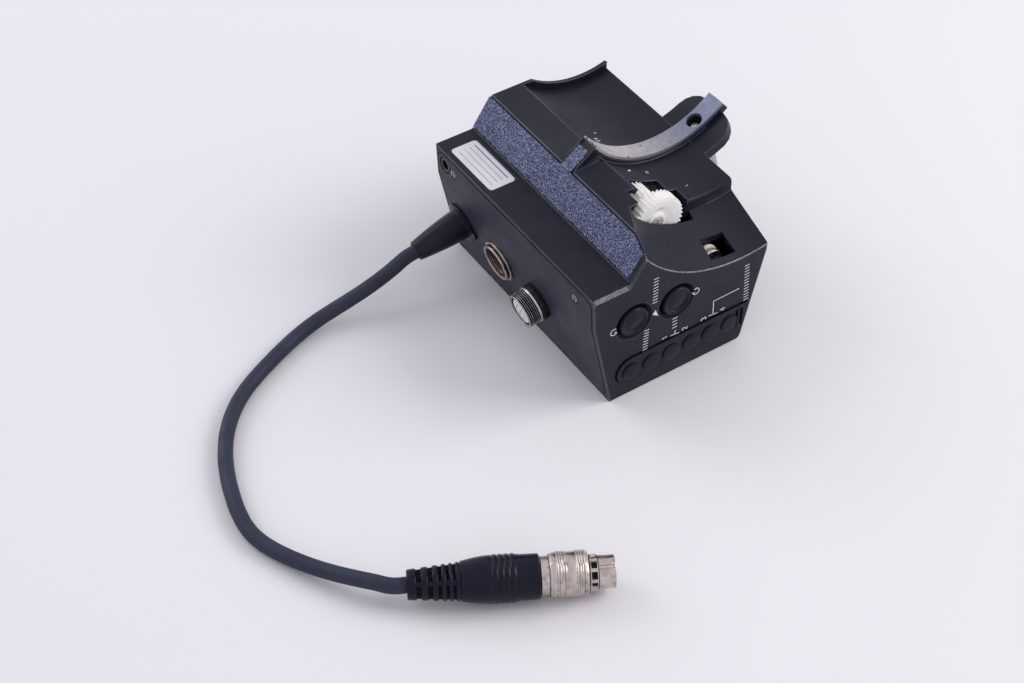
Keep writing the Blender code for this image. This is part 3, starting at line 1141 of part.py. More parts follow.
def build_controls(mats):
    """Buttons, trimmer cover, trimmers, switches and the control board."""
    for label, x in (("left", LEFT_BUTTON_X), ("right", RIGHT_BUTTON_X)):
        inner = END_WALL + GAP
        profile = [(0.0, -BUTTON_DOME)]
        profile += [(BUTTON_DOME_RADIUS * across, -BUTTON_DOME * high) for across, high in BUTTON_SHARES]
        profile += [(BUTTON_DOME_RADIUS, BUTTON_DISH * BUTTON_FOOT_SHARE),
                    (BUTTON_DOME_RADIUS + GAP, BUTTON_DISH),
                    (BUTTON_RADIUS - GAP * 2, BUTTON_DISH * BUTTON_RIM_SHARE),
                    (BUTTON_RADIUS, BUTTON_DISH * BUTTON_EDGE_SHARE), (BUTTON_RADIUS, inner),
                    (BUTTON_FLANGE_RADIUS, inner), (BUTTON_FLANGE_RADIUS, inner + BUTTON_FLANGE),
                    (BUTTON_STUB_RADIUS, inner + BUTTON_FLANGE),
                    (BUTTON_STUB_RADIUS, inner + BUTTON_FLANGE + BUTTON_STUB),
                    (0.0, inner + BUTTON_FLANGE + BUTTON_STUB)]
        turned(f"button_{label}", profile, along((x, FRONT_Y, BUTTON_HEIGHT), (0, 1, 0)), mats["rubber"])
        switch_front = FRONT_Y + inner + BUTTON_FLANGE + BUTTON_STUB + BUTTON_TRAVEL + GAP
        box(f"switch_{label}", (x - SWITCH_SIZE / 2, switch_front, BUTTON_HEIGHT - SWITCH_SIZE / 2),
            (x + SWITCH_SIZE / 2, CONTROL_BOARD_Y - GAP, BUTTON_HEIGHT + SWITCH_SIZE / 2), mats["board_part"])

    outer = FRONT_Y + COVER_RECESS - GAP
    cover = prism_y("trimmer_cover", cover_outline(0.0), outer - COVER_THICKNESS, outer, mats["rubber"])
    face = outer - COVER_THICKNESS
    dome = [(0.0, -GAP), (DOME_RADIUS, -GAP)]
    dome += [(DOME_RADIUS * across, DOME_RISE * high) for across, high in DOME_SHARES] + [(0.0, DOME_RISE)]
    for i, x in enumerate(trimmer_places()):
        join(cover, turned(f"guide_dome_{i + 1}", dome, along((x, face, TRIMMER_HEIGHT), (0, -1, 0)),
                           sides=SMALL_SIDES))
    middle = (COVER_BOTTOM + COVER_TOP) / 2
    for i in range(2):
        x = cover_right(middle) - RIDGE_PITCH * (i + 1 / 2)
        join(cover, box(f"guide_ridge_{i + 1}",
                        (x - RIDGE_WIDTH / 2, face - DOME_RISE, middle - RIDGE_LENGTH / 2),
                        (x + RIDGE_WIDTH / 2, face + GAP, middle + RIDGE_LENGTH / 2)))

    prism_y("control_board",
            [(CONTROL_BOARD_LEFT, CONTROL_BOARD_BOTTOM), (CONTROL_BOARD_RIGHT, CONTROL_BOARD_BOTTOM),
             (CONTROL_BOARD_RIGHT, CONTROL_BOARD_STEP_Z), (CONTROL_BOARD_STEP_X, CONTROL_BOARD_STEP_Z),
             (CONTROL_BOARD_STEP_X, CONTROL_BOARD_TOP), (CONTROL_BOARD_LEFT, CONTROL_BOARD_TOP)],
            CONTROL_BOARD_Y, CONTROL_BOARD_Y + BOARD, mats["board"])
    bank_rear = CONTROL_BOARD_Y - GAP
    bank_front = bank_rear - BANK_THICKNESS
    places = trimmer_places()
    bank = box("trimmer_bank", (places[0] - TRIMMER_PITCH / 2, bank_front, TRIMMER_HEIGHT - BANK_HALF_HEIGHT),
               (places[-1] + BANK_HALF_HEIGHT, bank_rear, TRIMMER_HEIGHT + BANK_HALF_HEIGHT),
               mats["board_part"])
    for i, x in enumerate(places):
        rotor_front = FRONT_INNER_Y + GAP
        rotor_rear = rotor_front + TRIMMER_LENGTH
        cut(bank, cylinder_y(f"guide_rotor_seat_{i + 1}", x, TRIMMER_HEIGHT, TRIMMER_RADIUS + RUNNING,
                             bank_front - CUT, rotor_rear + GAP, sides=SMALL_SIDES))
        rotor = cylinder_y(f"trimmer_rotor_{i + 1}", x, TRIMMER_HEIGHT, TRIMMER_RADIUS, rotor_front,
                           rotor_rear, mats["white"], SMALL_SIDES)
        cut(rotor, box(f"guide_rotor_slot_{i + 1}",
                       (x - TRIMMER_SLOT / 2, rotor_front - CUT, TRIMMER_HEIGHT - TRIMMER_RADIUS * 2),
                       (x + TRIMMER_SLOT / 2, rotor_front + TRIMMER_LENGTH / 3,
                        TRIMMER_HEIGHT + TRIMMER_RADIUS * 2)))


def build_train(mats, axes):
    """Gears, axles, plates, motor and sensor."""
    drive, idler, clutch = axes["drive"], axes["idler"], axes["clutch"]
    motor, sensor = axes["motor"], axes["sensor"]
    wheel_rear = DRIVE_FACE_Y + DRIVE_WHEEL_WIDTH

    drive_gear = gear("drive_gear", drive, DRIVE_TEETH, 0.0, DRIVE_FACE_Y, wheel_rear, mats["nylon"])
    join(drive_gear, gear("guide_drive_pinion", drive, DRIVE_PINION_TEETH, 0.0, wheel_rear - GAP,
                          DRIVE_REAR_Y, None))
    dish = turned("guide_drive_dish", [(HUB_RADIUS, -CUT), (DISH_RADIUS, -CUT), (DISH_RADIUS, 0.0),
                                       (HUB_RADIUS + DISH_DEPTH, DISH_DEPTH), (HUB_RADIUS, DISH_DEPTH)],
                  along((drive[0], DRIVE_FACE_Y, drive[1]), (0, 1, 0)))
    cut(drive_gear, dish)
    bore(drive_gear, drive, AXLE_RADIUS + RUNNING, DRIVE_FACE_Y - CUT, DRIVE_REAR_Y + CUT, "drive")
    head_seat = AXLE_SCREW_HEAD + GAP
    bore(drive_gear, drive, AXLE_SCREW_RADIUS + GAP, DRIVE_FACE_Y - CUT, DRIVE_FACE_Y + head_seat,
         "screw_seat")
    axle_end = GEAR_PLATE_Y + PLATE
    cylinder_y("drive_axle", *drive, AXLE_RADIUS, DRIVE_FACE_Y + head_seat, axle_end, mats["steel"],
               SMALL_SIDES)
    head = cylinder_y("drive_gear_screw", *drive, AXLE_SCREW_RADIUS, DRIVE_FACE_Y - GAP,
                      DRIVE_FACE_Y + AXLE_SCREW_HEAD - GAP, mats["steel"], SMALL_SIDES)
    cut(head, box("guide_drive_screw_slot",
                  (drive[0] - SCREW_SLOT / 2, DRIVE_FACE_Y - CUT, drive[1] - AXLE_SCREW_RADIUS * 2),
                  (drive[0] + SCREW_SLOT / 2, DRIVE_FACE_Y, drive[1] + AXLE_SCREW_RADIUS * 2)))

    idler_phase = meshed_phase(IDLER_PINION_TEETH, DRIVE_TEETH, 0.0, bearing_between(drive, idler))
    idler_front = DRIVE_FACE_Y + TRAIN_GAP
    wheel_end = TRAIN_WHEEL_Y + WHEEL_WIDTH
    idler_gear = gear("idler_gear", idler, IDLER_TEETH, 0.0, TRAIN_WHEEL_Y, wheel_end, mats["acetal"])
    join(idler_gear, gear("guide_idler_pinion", idler, IDLER_PINION_TEETH, idler_phase, idler_front,
                          TRAIN_WHEEL_Y + GAP, None))
    bore(idler_gear, idler, AXLE_RADIUS + RUNNING, idler_front - CUT, wheel_end + CUT, "idler")
    cylinder_y("idler_axle", *idler, AXLE_RADIUS, idler_front - GAP, axle_end, mats["steel"], SMALL_SIDES)

    pinion_phase = meshed_phase(CLUTCH_PINION_TEETH, IDLER_TEETH, 0.0, bearing_between(idler, clutch))
    clutch_end = MOTOR_PLATE_Y + PLATE
    clutch_start = FRONT_INNER_Y + GAP
    cylinder_y("clutch_shaft", *clutch, AXLE_RADIUS, clutch_start, clutch_end, mats["black_metal"],
               SMALL_SIDES)
    seat = AXLE_RADIUS + RUNNING
    clutch_pinion = gear("clutch_pinion", clutch, CLUTCH_PINION_TEETH, pinion_phase, TRAIN_WHEEL_Y,
                         wheel_end, mats["brass"])
    bore(clutch_pinion, clutch, seat, TRAIN_WHEEL_Y - CUT, wheel_end + CUT, "clutch_pinion")
    clutch_wheel = gear("clutch_wheel", clutch, CLUTCH_TEETH, 0.0, CLUTCH_WHEEL_Y,
                        CLUTCH_WHEEL_Y + WHEEL_WIDTH, mats["acetal"])
    bore(clutch_wheel, clutch, seat, CLUTCH_WHEEL_Y - CUT, CLUTCH_WHEEL_Y + WHEEL_WIDTH + CUT, "clutch_wheel")
    for label, low, mat in (("cream", CLUTCH_RING_Y, mats["cream"]),
                            ("silver", CLUTCH_RING_Y - CLUTCH_RING_WIDTH - CLUTCH_RING_GAP, mats["steel"])):
        turned(f"clutch_ring_{label}",
               [(seat, 0.0), (CLUTCH_RING_RADIUS - GAP, 0.0), (CLUTCH_RING_RADIUS, GAP),
                (CLUTCH_RING_RADIUS, CLUTCH_RING_WIDTH - GAP), (CLUTCH_RING_RADIUS - GAP, CLUTCH_RING_WIDTH),
                (seat, CLUTCH_RING_WIDTH)],
               along((clutch[0], low, clutch[1]), (0, 1, 0)), mat, SMALL_SIDES)

    motor_phase = meshed_phase(MOTOR_TEETH, CLUTCH_TEETH, 0.0, bearing_between(clutch, motor))
    motor_pinion = gear("motor_pinion", motor, MOTOR_TEETH, motor_phase, CLUTCH_WHEEL_Y,
                        CLUTCH_WHEEL_Y + WHEEL_WIDTH, mats["brass"])
    motor_front = MOTOR_PLATE_Y + PLATE + GAP
    shaft_end = motor_front + MOTOR_SHAFT_REACH
    join(motor_pinion, cylinder_y("guide_motor_shaft", *motor, MOTOR_SHAFT_RADIUS,
                                  CLUTCH_WHEEL_Y + WHEEL_WIDTH - GAP, shaft_end, sides=SMALL_SIDES))
    body = cylinder_y("drive_motor", *motor, MOTOR_RADIUS, motor_front, motor_front + MOTOR_LENGTH,
                      mats["steel"])
    bore(body, motor, MOTOR_SHAFT_RADIUS + RUNNING, motor_front - CUT, shaft_end + GAP, "motor")

    sensor_phase = meshed_phase(SENSOR_TEETH, DRIVE_PINION_TEETH, 0.0, bearing_between(drive, sensor))
    sensor_front = wheel_rear + DRIVE_PINION_WIDTH / 2
    sensor_rear = sensor_front + SENSOR_GEAR_WIDTH
    sensor_seat = GEAR_PLATE_Y + PLATE + GAP
    shaft_end = sensor_seat + SENSOR_LENGTH / 2
    sensor_gear = gear("sensor_gear", sensor, SENSOR_TEETH, sensor_phase, sensor_front, sensor_rear,
                       mats["nylon"])
    join(sensor_gear, cylinder_y("guide_sensor_shaft", *sensor, AXLE_RADIUS, sensor_rear - GAP, shaft_end,
                                 sides=SMALL_SIDES))
    sensor_body = cylinder_y("position_sensor", *sensor, SENSOR_RADIUS, sensor_seat,
                             sensor_seat + SENSOR_LENGTH, mats["board_part"])
    bore(sensor_body, sensor, AXLE_RADIUS + RUNNING, sensor_seat - CUT, shaft_end + GAP, "sensor")

    clear_roof = SADDLE_RADIUS + SKIN + GAP * 2
    top = saddle_arc(clear_roof, PLATE_ARC_FROM, PLATE_ARC_TO)
    shoulder = SHOULDER_HEIGHT - SKIN - GAP
    foot_z = COVER_PLATE + GAP
    plate = prism_y("gear_plate",
                    [(PLATE_LEFT, foot_z), (PLATE_RIGHT, foot_z), (PLATE_RIGHT, top[0][1])] + top[1:]
                    + [(top[-1][0] - SKIN, top[-1][1]), (sensor[0], shoulder + SKIN), (PLATE_LEFT, shoulder)],
                    GEAR_PLATE_Y, GEAR_PLATE_Y + PLATE, mats["aluminium"])
    join(plate, box("guide_plate_foot", (-FOOT_HALF_WIDTH, GEAR_PLATE_Y + GAP, foot_z),
                    (FOOT_HALF_WIDTH, GEAR_PLATE_Y + PLATE + FOOT_LENGTH, foot_z + PLATE)))
    for label, axis in (("drive", drive), ("idler", idler), ("clutch", clutch), ("sensor", sensor)):
        bore(plate, axis, AXLE_RADIUS + RUNNING, GEAR_PLATE_Y - CUT, GEAR_PLATE_Y + PLATE + CUT,
             f"plate_{label}")
    left, right = motor[0] - MOTOR_PLATE_LEFT_REACH, clutch[0] + MOTOR_PLATE_RIGHT_REACH
    low, high = motor[1] - MOTOR_PLATE_BOTTOM_REACH, clutch[1] + MOTOR_PLATE_TOP_REACH
    motor_plate = prism_y("motor_plate", [(left, low), (right, low), (right, high), (left, high)],
                          MOTOR_PLATE_Y, MOTOR_PLATE_Y + PLATE, mats["aluminium"])
    post_low = low + POST_INSET
    posts = [(left + POST_INSET, post_low), (PLATE_RIGHT - POST_INSET, post_low),
             (left + POST_INSET, (low + high) / 2)]
    for i, (x, z) in enumerate(posts):
        join(motor_plate, cylinder_y(f"guide_post_{i + 1}", x, z, POST_RADIUS, GEAR_PLATE_Y + PLATE + GAP,
                                     MOTOR_PLATE_Y + GAP, sides=SMALL_SIDES))
    bore(motor_plate, clutch, AXLE_RADIUS + RUNNING, MOTOR_PLATE_Y - CUT, clutch_end + CUT, "plate_rear")
    bore(motor_plate, motor, MOTOR_SHAFT_RADIUS + GAP, MOTOR_PLATE_Y - CUT, clutch_end + CUT, "plate_motor")


def build_main_board(mats):
    """Circuit board on the base cover's standoffs."""
    high = MAIN_BOARD_HEIGHT + BOARD
    right = main_board_right()
    width, length = right - MAIN_BOARD_LEFT, MAIN_BOARD_REAR - MAIN_BOARD_FRONT
    board = box("main_board", (MAIN_BOARD_LEFT, MAIN_BOARD_FRONT, MAIN_BOARD_HEIGHT),
                (right, MAIN_BOARD_REAR, high), mats["board"])
    for i, (x_share, y_share, half_share) in enumerate(CHIP_SHARES):
        x = MAIN_BOARD_LEFT + width * x_share
        y = MAIN_BOARD_FRONT + length * y_share
        half = width * half_share
        join(board, box(f"guide_chip_{i + 1}", (x - half, y - half, high - GAP),
                        (x + half, y + half, high + CHIP_HEIGHT)))


def cable_route():
    """Places on the cable's middle line between its two straight ends, read off the photograph."""
    return [Vector(place) * MM for place in (
        (-58.2, 34.4, 12.6), (-62.7, 34.6, 10.6), (-68.9, 34.8, 8.2), (-74.8, 35.4, 6.2), (-80.8, 36.1, 4.4),
        (-87.5, 36.1, 3.2), (-95.3, 34.3, 2.6), (-102.5, 31.3, 2.6), (-109.9, 27.6, 2.6), (-115.9, 24.9, 2.6),
        (-121.2, 22.1, 2.6), (-128.0, 17.2, 2.6), (-134.4, 10.6, 2.6), (-139.4, 2.0, 2.6),
        (-142.9, -6.2, 2.6), (-145.8, -16.1, 2.6), (-147.5, -24.5, 2.6), (-147.8, -29.4, 2.6),
        (-147.2, -33.9, 2.6),
        (-145.6, -38.8, 2.6), (-143.4, -43.7, 2.8), (-140.8, -48.9, 3.2), (-138.0, -54.0, 3.9),
        (-135.0, -59.1, 4.7), (-131.3, -64.6, 5.8), (-126.9, -70.1, 6.8))]


def smooth(points):
    """Catmull-Rom curve through the points, with several places in each stretch."""
    fine = []
    padded = [points[0] * 2 - points[1]] + points + [points[-1] * 2 - points[-2]]
    for p0, p1, p2, p3 in zip(padded, padded[1:], padded[2:], padded[3:]):
        for k in range(SMOOTH_STEPS):
            t = k / SMOOTH_STEPS
            fine.append(0.5 * ((2 * p1) + (p2 - p0) * t + (2 * p0 - 5 * p1 + 4 * p2 - p3) * t * t
                               + (3 * p1 - p0 - 3 * p2 + p3) * t ** 3))
    fine.append(points[-1])
    return fine


def evenly(places, spacing):
    """Places at an even spacing along a path, both ends included."""
    length = sum((b - a).length for a, b in zip(places, places[1:]))
    steps = max(2, round(length / spacing))
    result, travelled = [places[0]], 0.0
    for a, b in zip(places, places[1:]):
        piece = (b - a).length
        while len(result) < steps and travelled + piece >= length * len(result) / steps:
            result.append(a.lerp(b, (length * len(result) / steps - travelled) / piece))
        travelled += piece
    return result + [places[-1]]


def plug_direction():
    start, end = Vector((*PLUG_START, 0.0)), Vector((*PLUG_END, 0.0))
    return (end - start).normalized()


def plug_point(distance):
    """A place on the plug's axis, measured from where the cable enters."""
    return Vector((*PLUG_START, PLUG_AXIS_HEIGHT)) + plug_direction() * distance


def build_cable(mats):
    """The free cable as one tube, straight for a short way where it meets the boot and the plug."""
    tip = panel_frame(GLAND_Y, BOOT_LENGTH + GAP).translation
    end = plug_point(-GAP)
    straight = CABLE_RADIUS * 2
    bend_start, bend_end = tip + PANEL_NORMAL * straight, end - plug_direction() * straight
    bend = evenly(smooth([bend_start] + cable_route() + [bend_end]), CABLE_STEP)
    points = [tip] + bend + [end]
    length = sum((b - a).length for a, b in zip(points, points[1:]))
    curve = bpy.data.curves.new("cable", "CURVE")
    curve.dimensions = "3D"
    curve.bevel_depth = CABLE_RADIUS
    curve.bevel_resolution = 2
    curve.use_fill_caps = True
    spline = curve.splines.new("POLY")
    spline.points.add(len(points) - 1)
    for slot, place in zip(spline.points, points):
        slot.co = (*place, 1.0)
    curve.materials.append(mats["cable"])
    item = bpy.data.objects.new("cable", curve)
    bpy.context.scene.collection.objects.link(item)
    print(f"cable: {length / MM:.1f} mm of free length, {len(points)} points")


def build_plug(mats):
    """Round push-pull plug: rubber boot, core, sliding sleeve, nose and insert."""
    frame = along(plug_point(0.0), plug_direction())
    profile = [(0.0, 0.0)]
    rib_end, groove_start, groove_end = RIB_SHARES
    pitch = PLUG_RIB_LENGTH / (PLUG_RIBS - 1 / 2)
    for i in range(PLUG_RIBS):
        low = i * pitch
        share = low / PLUG_RIB_LENGTH
        radius = PLUG_RIB_START_RADIUS + (PLUG_RIB_END_RADIUS - PLUG_RIB_START_RADIUS) * share
        profile += [(radius, low), (radius, low + pitch * rib_end)]
        if i < PLUG_RIBS - 1:
            profile += [(radius - PLUG_RIB_DEPTH, low + pitch * groove_start),
                        (radius - PLUG_RIB_DEPTH, low + pitch * groove_end)]
    profile += [(PLUG_GRIP_RADIUS - GAP, PLUG_TAPER_END - PLUG_SHOULDER),
                (PLUG_GRIP_RADIUS, PLUG_TAPER_END)]
    ridge_end, floor_start, floor_end = GROOVE_SHARES
    groove = (PLUG_GRIP_END - PLUG_TAPER_END) / (PLUG_GRIP_GROOVES + 1 / 2)
    for i in range(PLUG_GRIP_GROOVES):
        low = PLUG_TAPER_END + i * groove
        profile += [(PLUG_GRIP_RADIUS, low + groove * ridge_end),
                    (PLUG_GRIP_RADIUS - PLUG_GROOVE_DEPTH, low + groove * floor_start),
                    (PLUG_GRIP_RADIUS - PLUG_GROOVE_DEPTH, low + groove * floor_end),
                    (PLUG_GRIP_RADIUS, low + groove)]
    profile += [(PLUG_GRIP_RADIUS, PLUG_GRIP_END), (PLUG_PLAIN_RADIUS, PLUG_GRIP_END + GAP),
                (PLUG_PLAIN_RADIUS, PLUG_BOOT_LENGTH), (0.0, PLUG_BOOT_LENGTH)]
    turned("plug_boot", profile, frame, mats["rubber"], PLUG_SIDES)

    core_start = PLUG_BOOT_LENGTH + GAP
    core_end = SLEEVE_START + SLEEVE_LENGTH
    turned("plug_core", [(0.0, core_start), (PLUG_NECK_RADIUS, core_start),
                         (PLUG_NECK_RADIUS, core_start + PLUG_NECK_LENGTH),
                         (PLUG_CORE_RADIUS, core_start + PLUG_NECK_LENGTH), (PLUG_CORE_RADIUS, core_end),
                         (0.0, core_end)], frame, mats["nickel"], PLUG_SIDES)
    outer = [(SLEEVE_RADIUS - SLEEVE_RIDGE, SLEEVE_START),
             (SLEEVE_RADIUS, SLEEVE_START + SLEEVE_LENGTH * SLEEVE_BAND_SHARE),
             (SLEEVE_RADIUS, SLEEVE_START + SLEEVE_LENGTH * SLEEVE_RIDGE_SHARES[0])]
    for share in SLEEVE_RIDGE_SHARES:
        foot, peak = [SLEEVE_START + SLEEVE_LENGTH * (share + further) for further in SLEEVE_PEAK_SHARES]
        outer += [(SLEEVE_RADIUS - SLEEVE_RIDGE, foot), (SLEEVE_RADIUS + SLEEVE_RIDGE, peak)]
    outer.append((SLEEVE_RADIUS - SLEEVE_RIDGE, core_end))
    turned("plug_sleeve", outer + [(SLEEVE_BORE, core_end), (SLEEVE_BORE, SLEEVE_START)], frame,
           mats["nickel"], PLUG_SIDES)
    nose_start = core_end + GAP
    nose = turned("plug_nose", [(0.0, nose_start), (CLAW_RADIUS, nose_start),
                                (CLAW_RADIUS, nose_start + CLAW_LENGTH),
                                (NOSE_RADIUS, nose_start + CLAW_LENGTH),
                                (NOSE_RADIUS, NOSE_END), (NOSE_BORE, NOSE_END),
                                (NOSE_BORE, nose_start + SOCKET_FLOOR), (0.0, nose_start + SOCKET_FLOOR)],
                  frame, mats["nickel"], PLUG_SIDES)
    for i in range(KEYWAYS):
        angle = math.pi / 4 + 2 * math.pi * i / KEYWAYS
        place = frame @ Matrix.Rotation(angle, 4, "Z")
        floor, rim, side = NOSE_RADIUS - KEYWAY_DEPTH, NOSE_RADIUS + CUT, KEYWAY_WIDTH / 2
        key = prism_mesh([(floor, -side), (rim, -side), (rim, side), (floor, side)],
                         nose_start + CLAW_LENGTH + GAP, NOSE_END + CUT)
        cut(nose, add_mesh(f"guide_keyway_{i + 1}", key, None, place))
    insert = turned("plug_insert", [(0.0, nose_start + SOCKET_FLOOR + GAP),
                                    (NOSE_BORE - GAP, nose_start + SOCKET_FLOOR + GAP),
                                    (NOSE_BORE - GAP, NOSE_END - INSERT_SINK), (0.0, NOSE_END - INSERT_SINK)],
                    frame, mats["insert"], PLUG_SIDES)
    for i in range(PLUG_PINS):
        angle = 2 * math.pi * i / PLUG_PINS
        centre = (PIN_CIRCLE * math.cos(angle), PIN_CIRCLE * math.sin(angle))
        pin = prism_mesh(circle(PIN_RADIUS, PIN_SIDES, centre=centre), NOSE_END - INSERT_SINK - GAP,
                         NOSE_END - INSERT_SINK + PIN_LENGTH)
        join(insert, add_mesh(f"guide_pin_{i + 1}", pin, None, frame))


def make_materials():
    return {
        "housing": material("satin_black", (0.022, 0.024, 0.03), 0.45),
        "panel": material("panel_black", (0.045, 0.043, 0.06), 0.5),
        "band": material("speckled_blue", (0.065, 0.08, 0.16), 0.45, 0.3),
        "label": material("label_white", (0.74, 0.72, 0.75), 0.4),
        "aluminium": material("satin_aluminium", (0.62, 0.61, 0.66), 0.35, 1.0),
        "steel": material("steel", (0.6, 0.58, 0.56), 0.3, 1.0),
        "nickel": material("nickel", (0.55, 0.5, 0.47), 0.3, 1.0),
        "chrome": material("chrome", (0.7, 0.68, 0.68), 0.15, 1.0),
        "black_metal": material("black_metal", (0.03, 0.03, 0.035), 0.35, 0.8),
        "brass": material("brass", (0.6, 0.42, 0.18), 0.35, 1.0),
        "rubber": material("rubber", (0.015, 0.017, 0.024), 0.55),
        "cable": material("cable", (0.025, 0.028, 0.038), 0.5),
        "insert": material("insert", (0.03, 0.026, 0.026), 0.6),
        "white": material("white_plastic", (0.78, 0.76, 0.74), 0.45),
        "nylon": material("white_nylon", (0.85, 0.83, 0.78), 0.4),
        "acetal": material("acetal", (0.72, 0.55, 0.34), 0.45),
        "cream": material("cream_ring", (0.72, 0.64, 0.47), 0.35, 0.5),
        "board": material("board_green", (0.02, 0.13, 0.06), 0.5),
        "board_part": material("board_part", (0.02, 0.02, 0.022), 0.55),
    }


def main():
    clear_scene()
    mats = make_materials()
    axes = axes_of_train()
    build_housing(mats)
    build_shell(mats)
    build_clamp(mats)
    build_sockets(mats)
    build_controls(mats)
    build_train(mats, axes)
    build_main_board(mats)
    build_cable(mats)
    build_plug(mats)
    for name, (x, z) in axes.items():
        print(f"axis {name}: x {x / MM:.3f}, z {z / MM:.3f} mm")


main()
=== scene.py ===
"""Looks of a servo focus drive unit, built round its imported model.

The unit is a flared black box whose top is a saddle for a lens barrel. A white gear stands out of the
saddle, a metal strip lines the rib across it, a thumb screw hangs under the tongue, and a short cable leaves
the connector panel and ends in a round push-pull plug. Shapes are worked out in millimetres and turned into
metres when they become meshes.
"""
import json
import logging
import math
from collections.abc import Callable, Iterable, Sequence
from dataclasses import dataclass, replace
from enum import Enum
from functools import reduce

import bmesh
import bpy
import numpy as np
from mathutils import Matrix, Vector

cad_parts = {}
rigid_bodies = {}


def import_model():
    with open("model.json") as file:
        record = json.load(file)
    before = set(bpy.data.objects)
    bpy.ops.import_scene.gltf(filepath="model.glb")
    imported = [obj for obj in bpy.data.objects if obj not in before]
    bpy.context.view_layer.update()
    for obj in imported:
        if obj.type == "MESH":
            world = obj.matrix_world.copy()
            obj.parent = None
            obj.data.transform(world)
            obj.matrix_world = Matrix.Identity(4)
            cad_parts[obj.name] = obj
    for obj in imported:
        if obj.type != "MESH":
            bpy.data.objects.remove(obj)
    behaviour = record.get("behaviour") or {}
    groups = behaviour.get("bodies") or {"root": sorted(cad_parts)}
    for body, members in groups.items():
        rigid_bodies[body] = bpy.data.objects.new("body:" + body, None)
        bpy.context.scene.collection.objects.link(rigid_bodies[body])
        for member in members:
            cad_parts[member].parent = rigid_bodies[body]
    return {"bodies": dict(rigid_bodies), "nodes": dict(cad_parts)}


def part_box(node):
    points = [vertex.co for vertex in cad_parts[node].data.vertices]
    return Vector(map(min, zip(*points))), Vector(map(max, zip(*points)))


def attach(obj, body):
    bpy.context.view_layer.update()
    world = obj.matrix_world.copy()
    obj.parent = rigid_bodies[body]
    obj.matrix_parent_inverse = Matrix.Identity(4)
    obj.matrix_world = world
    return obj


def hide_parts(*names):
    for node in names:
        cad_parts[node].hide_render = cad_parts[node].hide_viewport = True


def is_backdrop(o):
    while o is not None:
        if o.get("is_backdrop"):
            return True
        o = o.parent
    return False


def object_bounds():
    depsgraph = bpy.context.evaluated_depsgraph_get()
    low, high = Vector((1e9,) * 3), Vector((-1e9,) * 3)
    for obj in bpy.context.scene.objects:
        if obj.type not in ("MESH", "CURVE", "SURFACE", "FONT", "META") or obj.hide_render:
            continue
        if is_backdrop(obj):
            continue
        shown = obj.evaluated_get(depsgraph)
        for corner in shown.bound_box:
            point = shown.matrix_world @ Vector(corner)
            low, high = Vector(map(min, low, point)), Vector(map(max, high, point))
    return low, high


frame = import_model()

Array = np.ndarray
Pair = tuple[float, float]
Point = tuple[float, float, float]
Colour = tuple[int, int, int]
Line = Sequence[Pair] | Array
Socket = bpy.types.NodeSocket
Sockets = dict[str, Socket]
Relief = Callable[[Array, Array, Array], Array]
Kinds = Callable[[Array], Array]
Weights = Callable[[Array, Array], Array]

LOG = logging.getLogger("focus_drive")
MM = 0.001
TURN = 2 * math.pi

# Limits: angles in degrees, lengths in millimetres
DOUBLES = 1e-6  # shorter lengths count as none, in metres too
EDGE_ANGLE = 35.0  # an edge sharper than this is rounded
JOIN_ANGLE = 0.8  # flat faces up to this angle become one
CLOSE = 0.1  # an edge this near to a surface lies on it
FACET_REACH = 0.25  # a facet this near to a round surface may belong to it
FACET_AGREEMENT = 0.985  # least cosine between such a facet and the surface
INK = 0.03  # how far a printed mark stands out and sinks in
ARC_POINTS = 14

# Places of the body, in millimetres
FRONT_Y = -45.0
REAR_Y = 45.0
HALF_BASE = 26.25
SIDE_FLARE = 7.4
KNEE_HEIGHT = 36.0
SHOULDER_FLARE = 0.5
SHOULDER_HEIGHT = 48.2
SADDLE_X, SADDLE_Z = 23.35, 85.6
BARREL_RADIUS = 33.5
SADDLE_RADIUS = 36.0
CONE_REAR_RADIUS, CONE_FRONT_RADIUS, CONE_LEAN = 40.5, 48.2, 0.385
STEP_Y = -25.0
RIB_Y = 1.0
SOCKET_ROW = 19.6
GLAND_Y, RING_SOCKET_Y, THREAD_SOCKET_Y = 35.0, 12.5, -10.0
BOOT_LENGTH = 19.2
PLUG_START, PLUG_END = (-120.27, -76.08, 7.3), (-67.48, -104.93, 7.3)


class Body(Enum):
    """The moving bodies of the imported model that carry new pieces."""

    HOUSING = "housing"
    DRIVE = "drive"
    CLUTCH = "clutch"
    CLAMP = "clamp"
    LEFT_BUTTON = "button_a"
    RIGHT_BUTTON = "button_b"
    COVER = "cover"
    SLEEVE = "sleeve"


class Slot(Enum):
    """The record's material slots, one named for each new piece."""

    CASTING = "satin_black"
    PANEL = "panel_black"
    BAND = "speckled_blue"
    LABEL = "label_white"
    STRIP = "satin_aluminium"
    NYLON = "white_nylon"
    CREAM = "cream_ring"
    STEEL = "steel"
    NICKEL = "nickel"
    CHROME = "chrome"
    BLACK_METAL = "black_metal"
    RUBBER = "rubber"
    INSERT = "insert"
    WHITE_PLASTIC = "white_plastic"
    CABLE = "cable"


# Shapes

@dataclass(frozen=True)
class Shell:
    """Points and faces of a closed surface, in millimetres."""

    points: Array
    faces: tuple[tuple[int, ...], ...]

    def __add__(self, other: "Shell") -> "Shell":
        """Both surfaces side by side in one mesh."""
        moved = tuple(tuple(corner + len(self.points) for corner in face) for face in other.faces)
        return Shell(np.concatenate([self.points, other.points]), self.faces + moved)


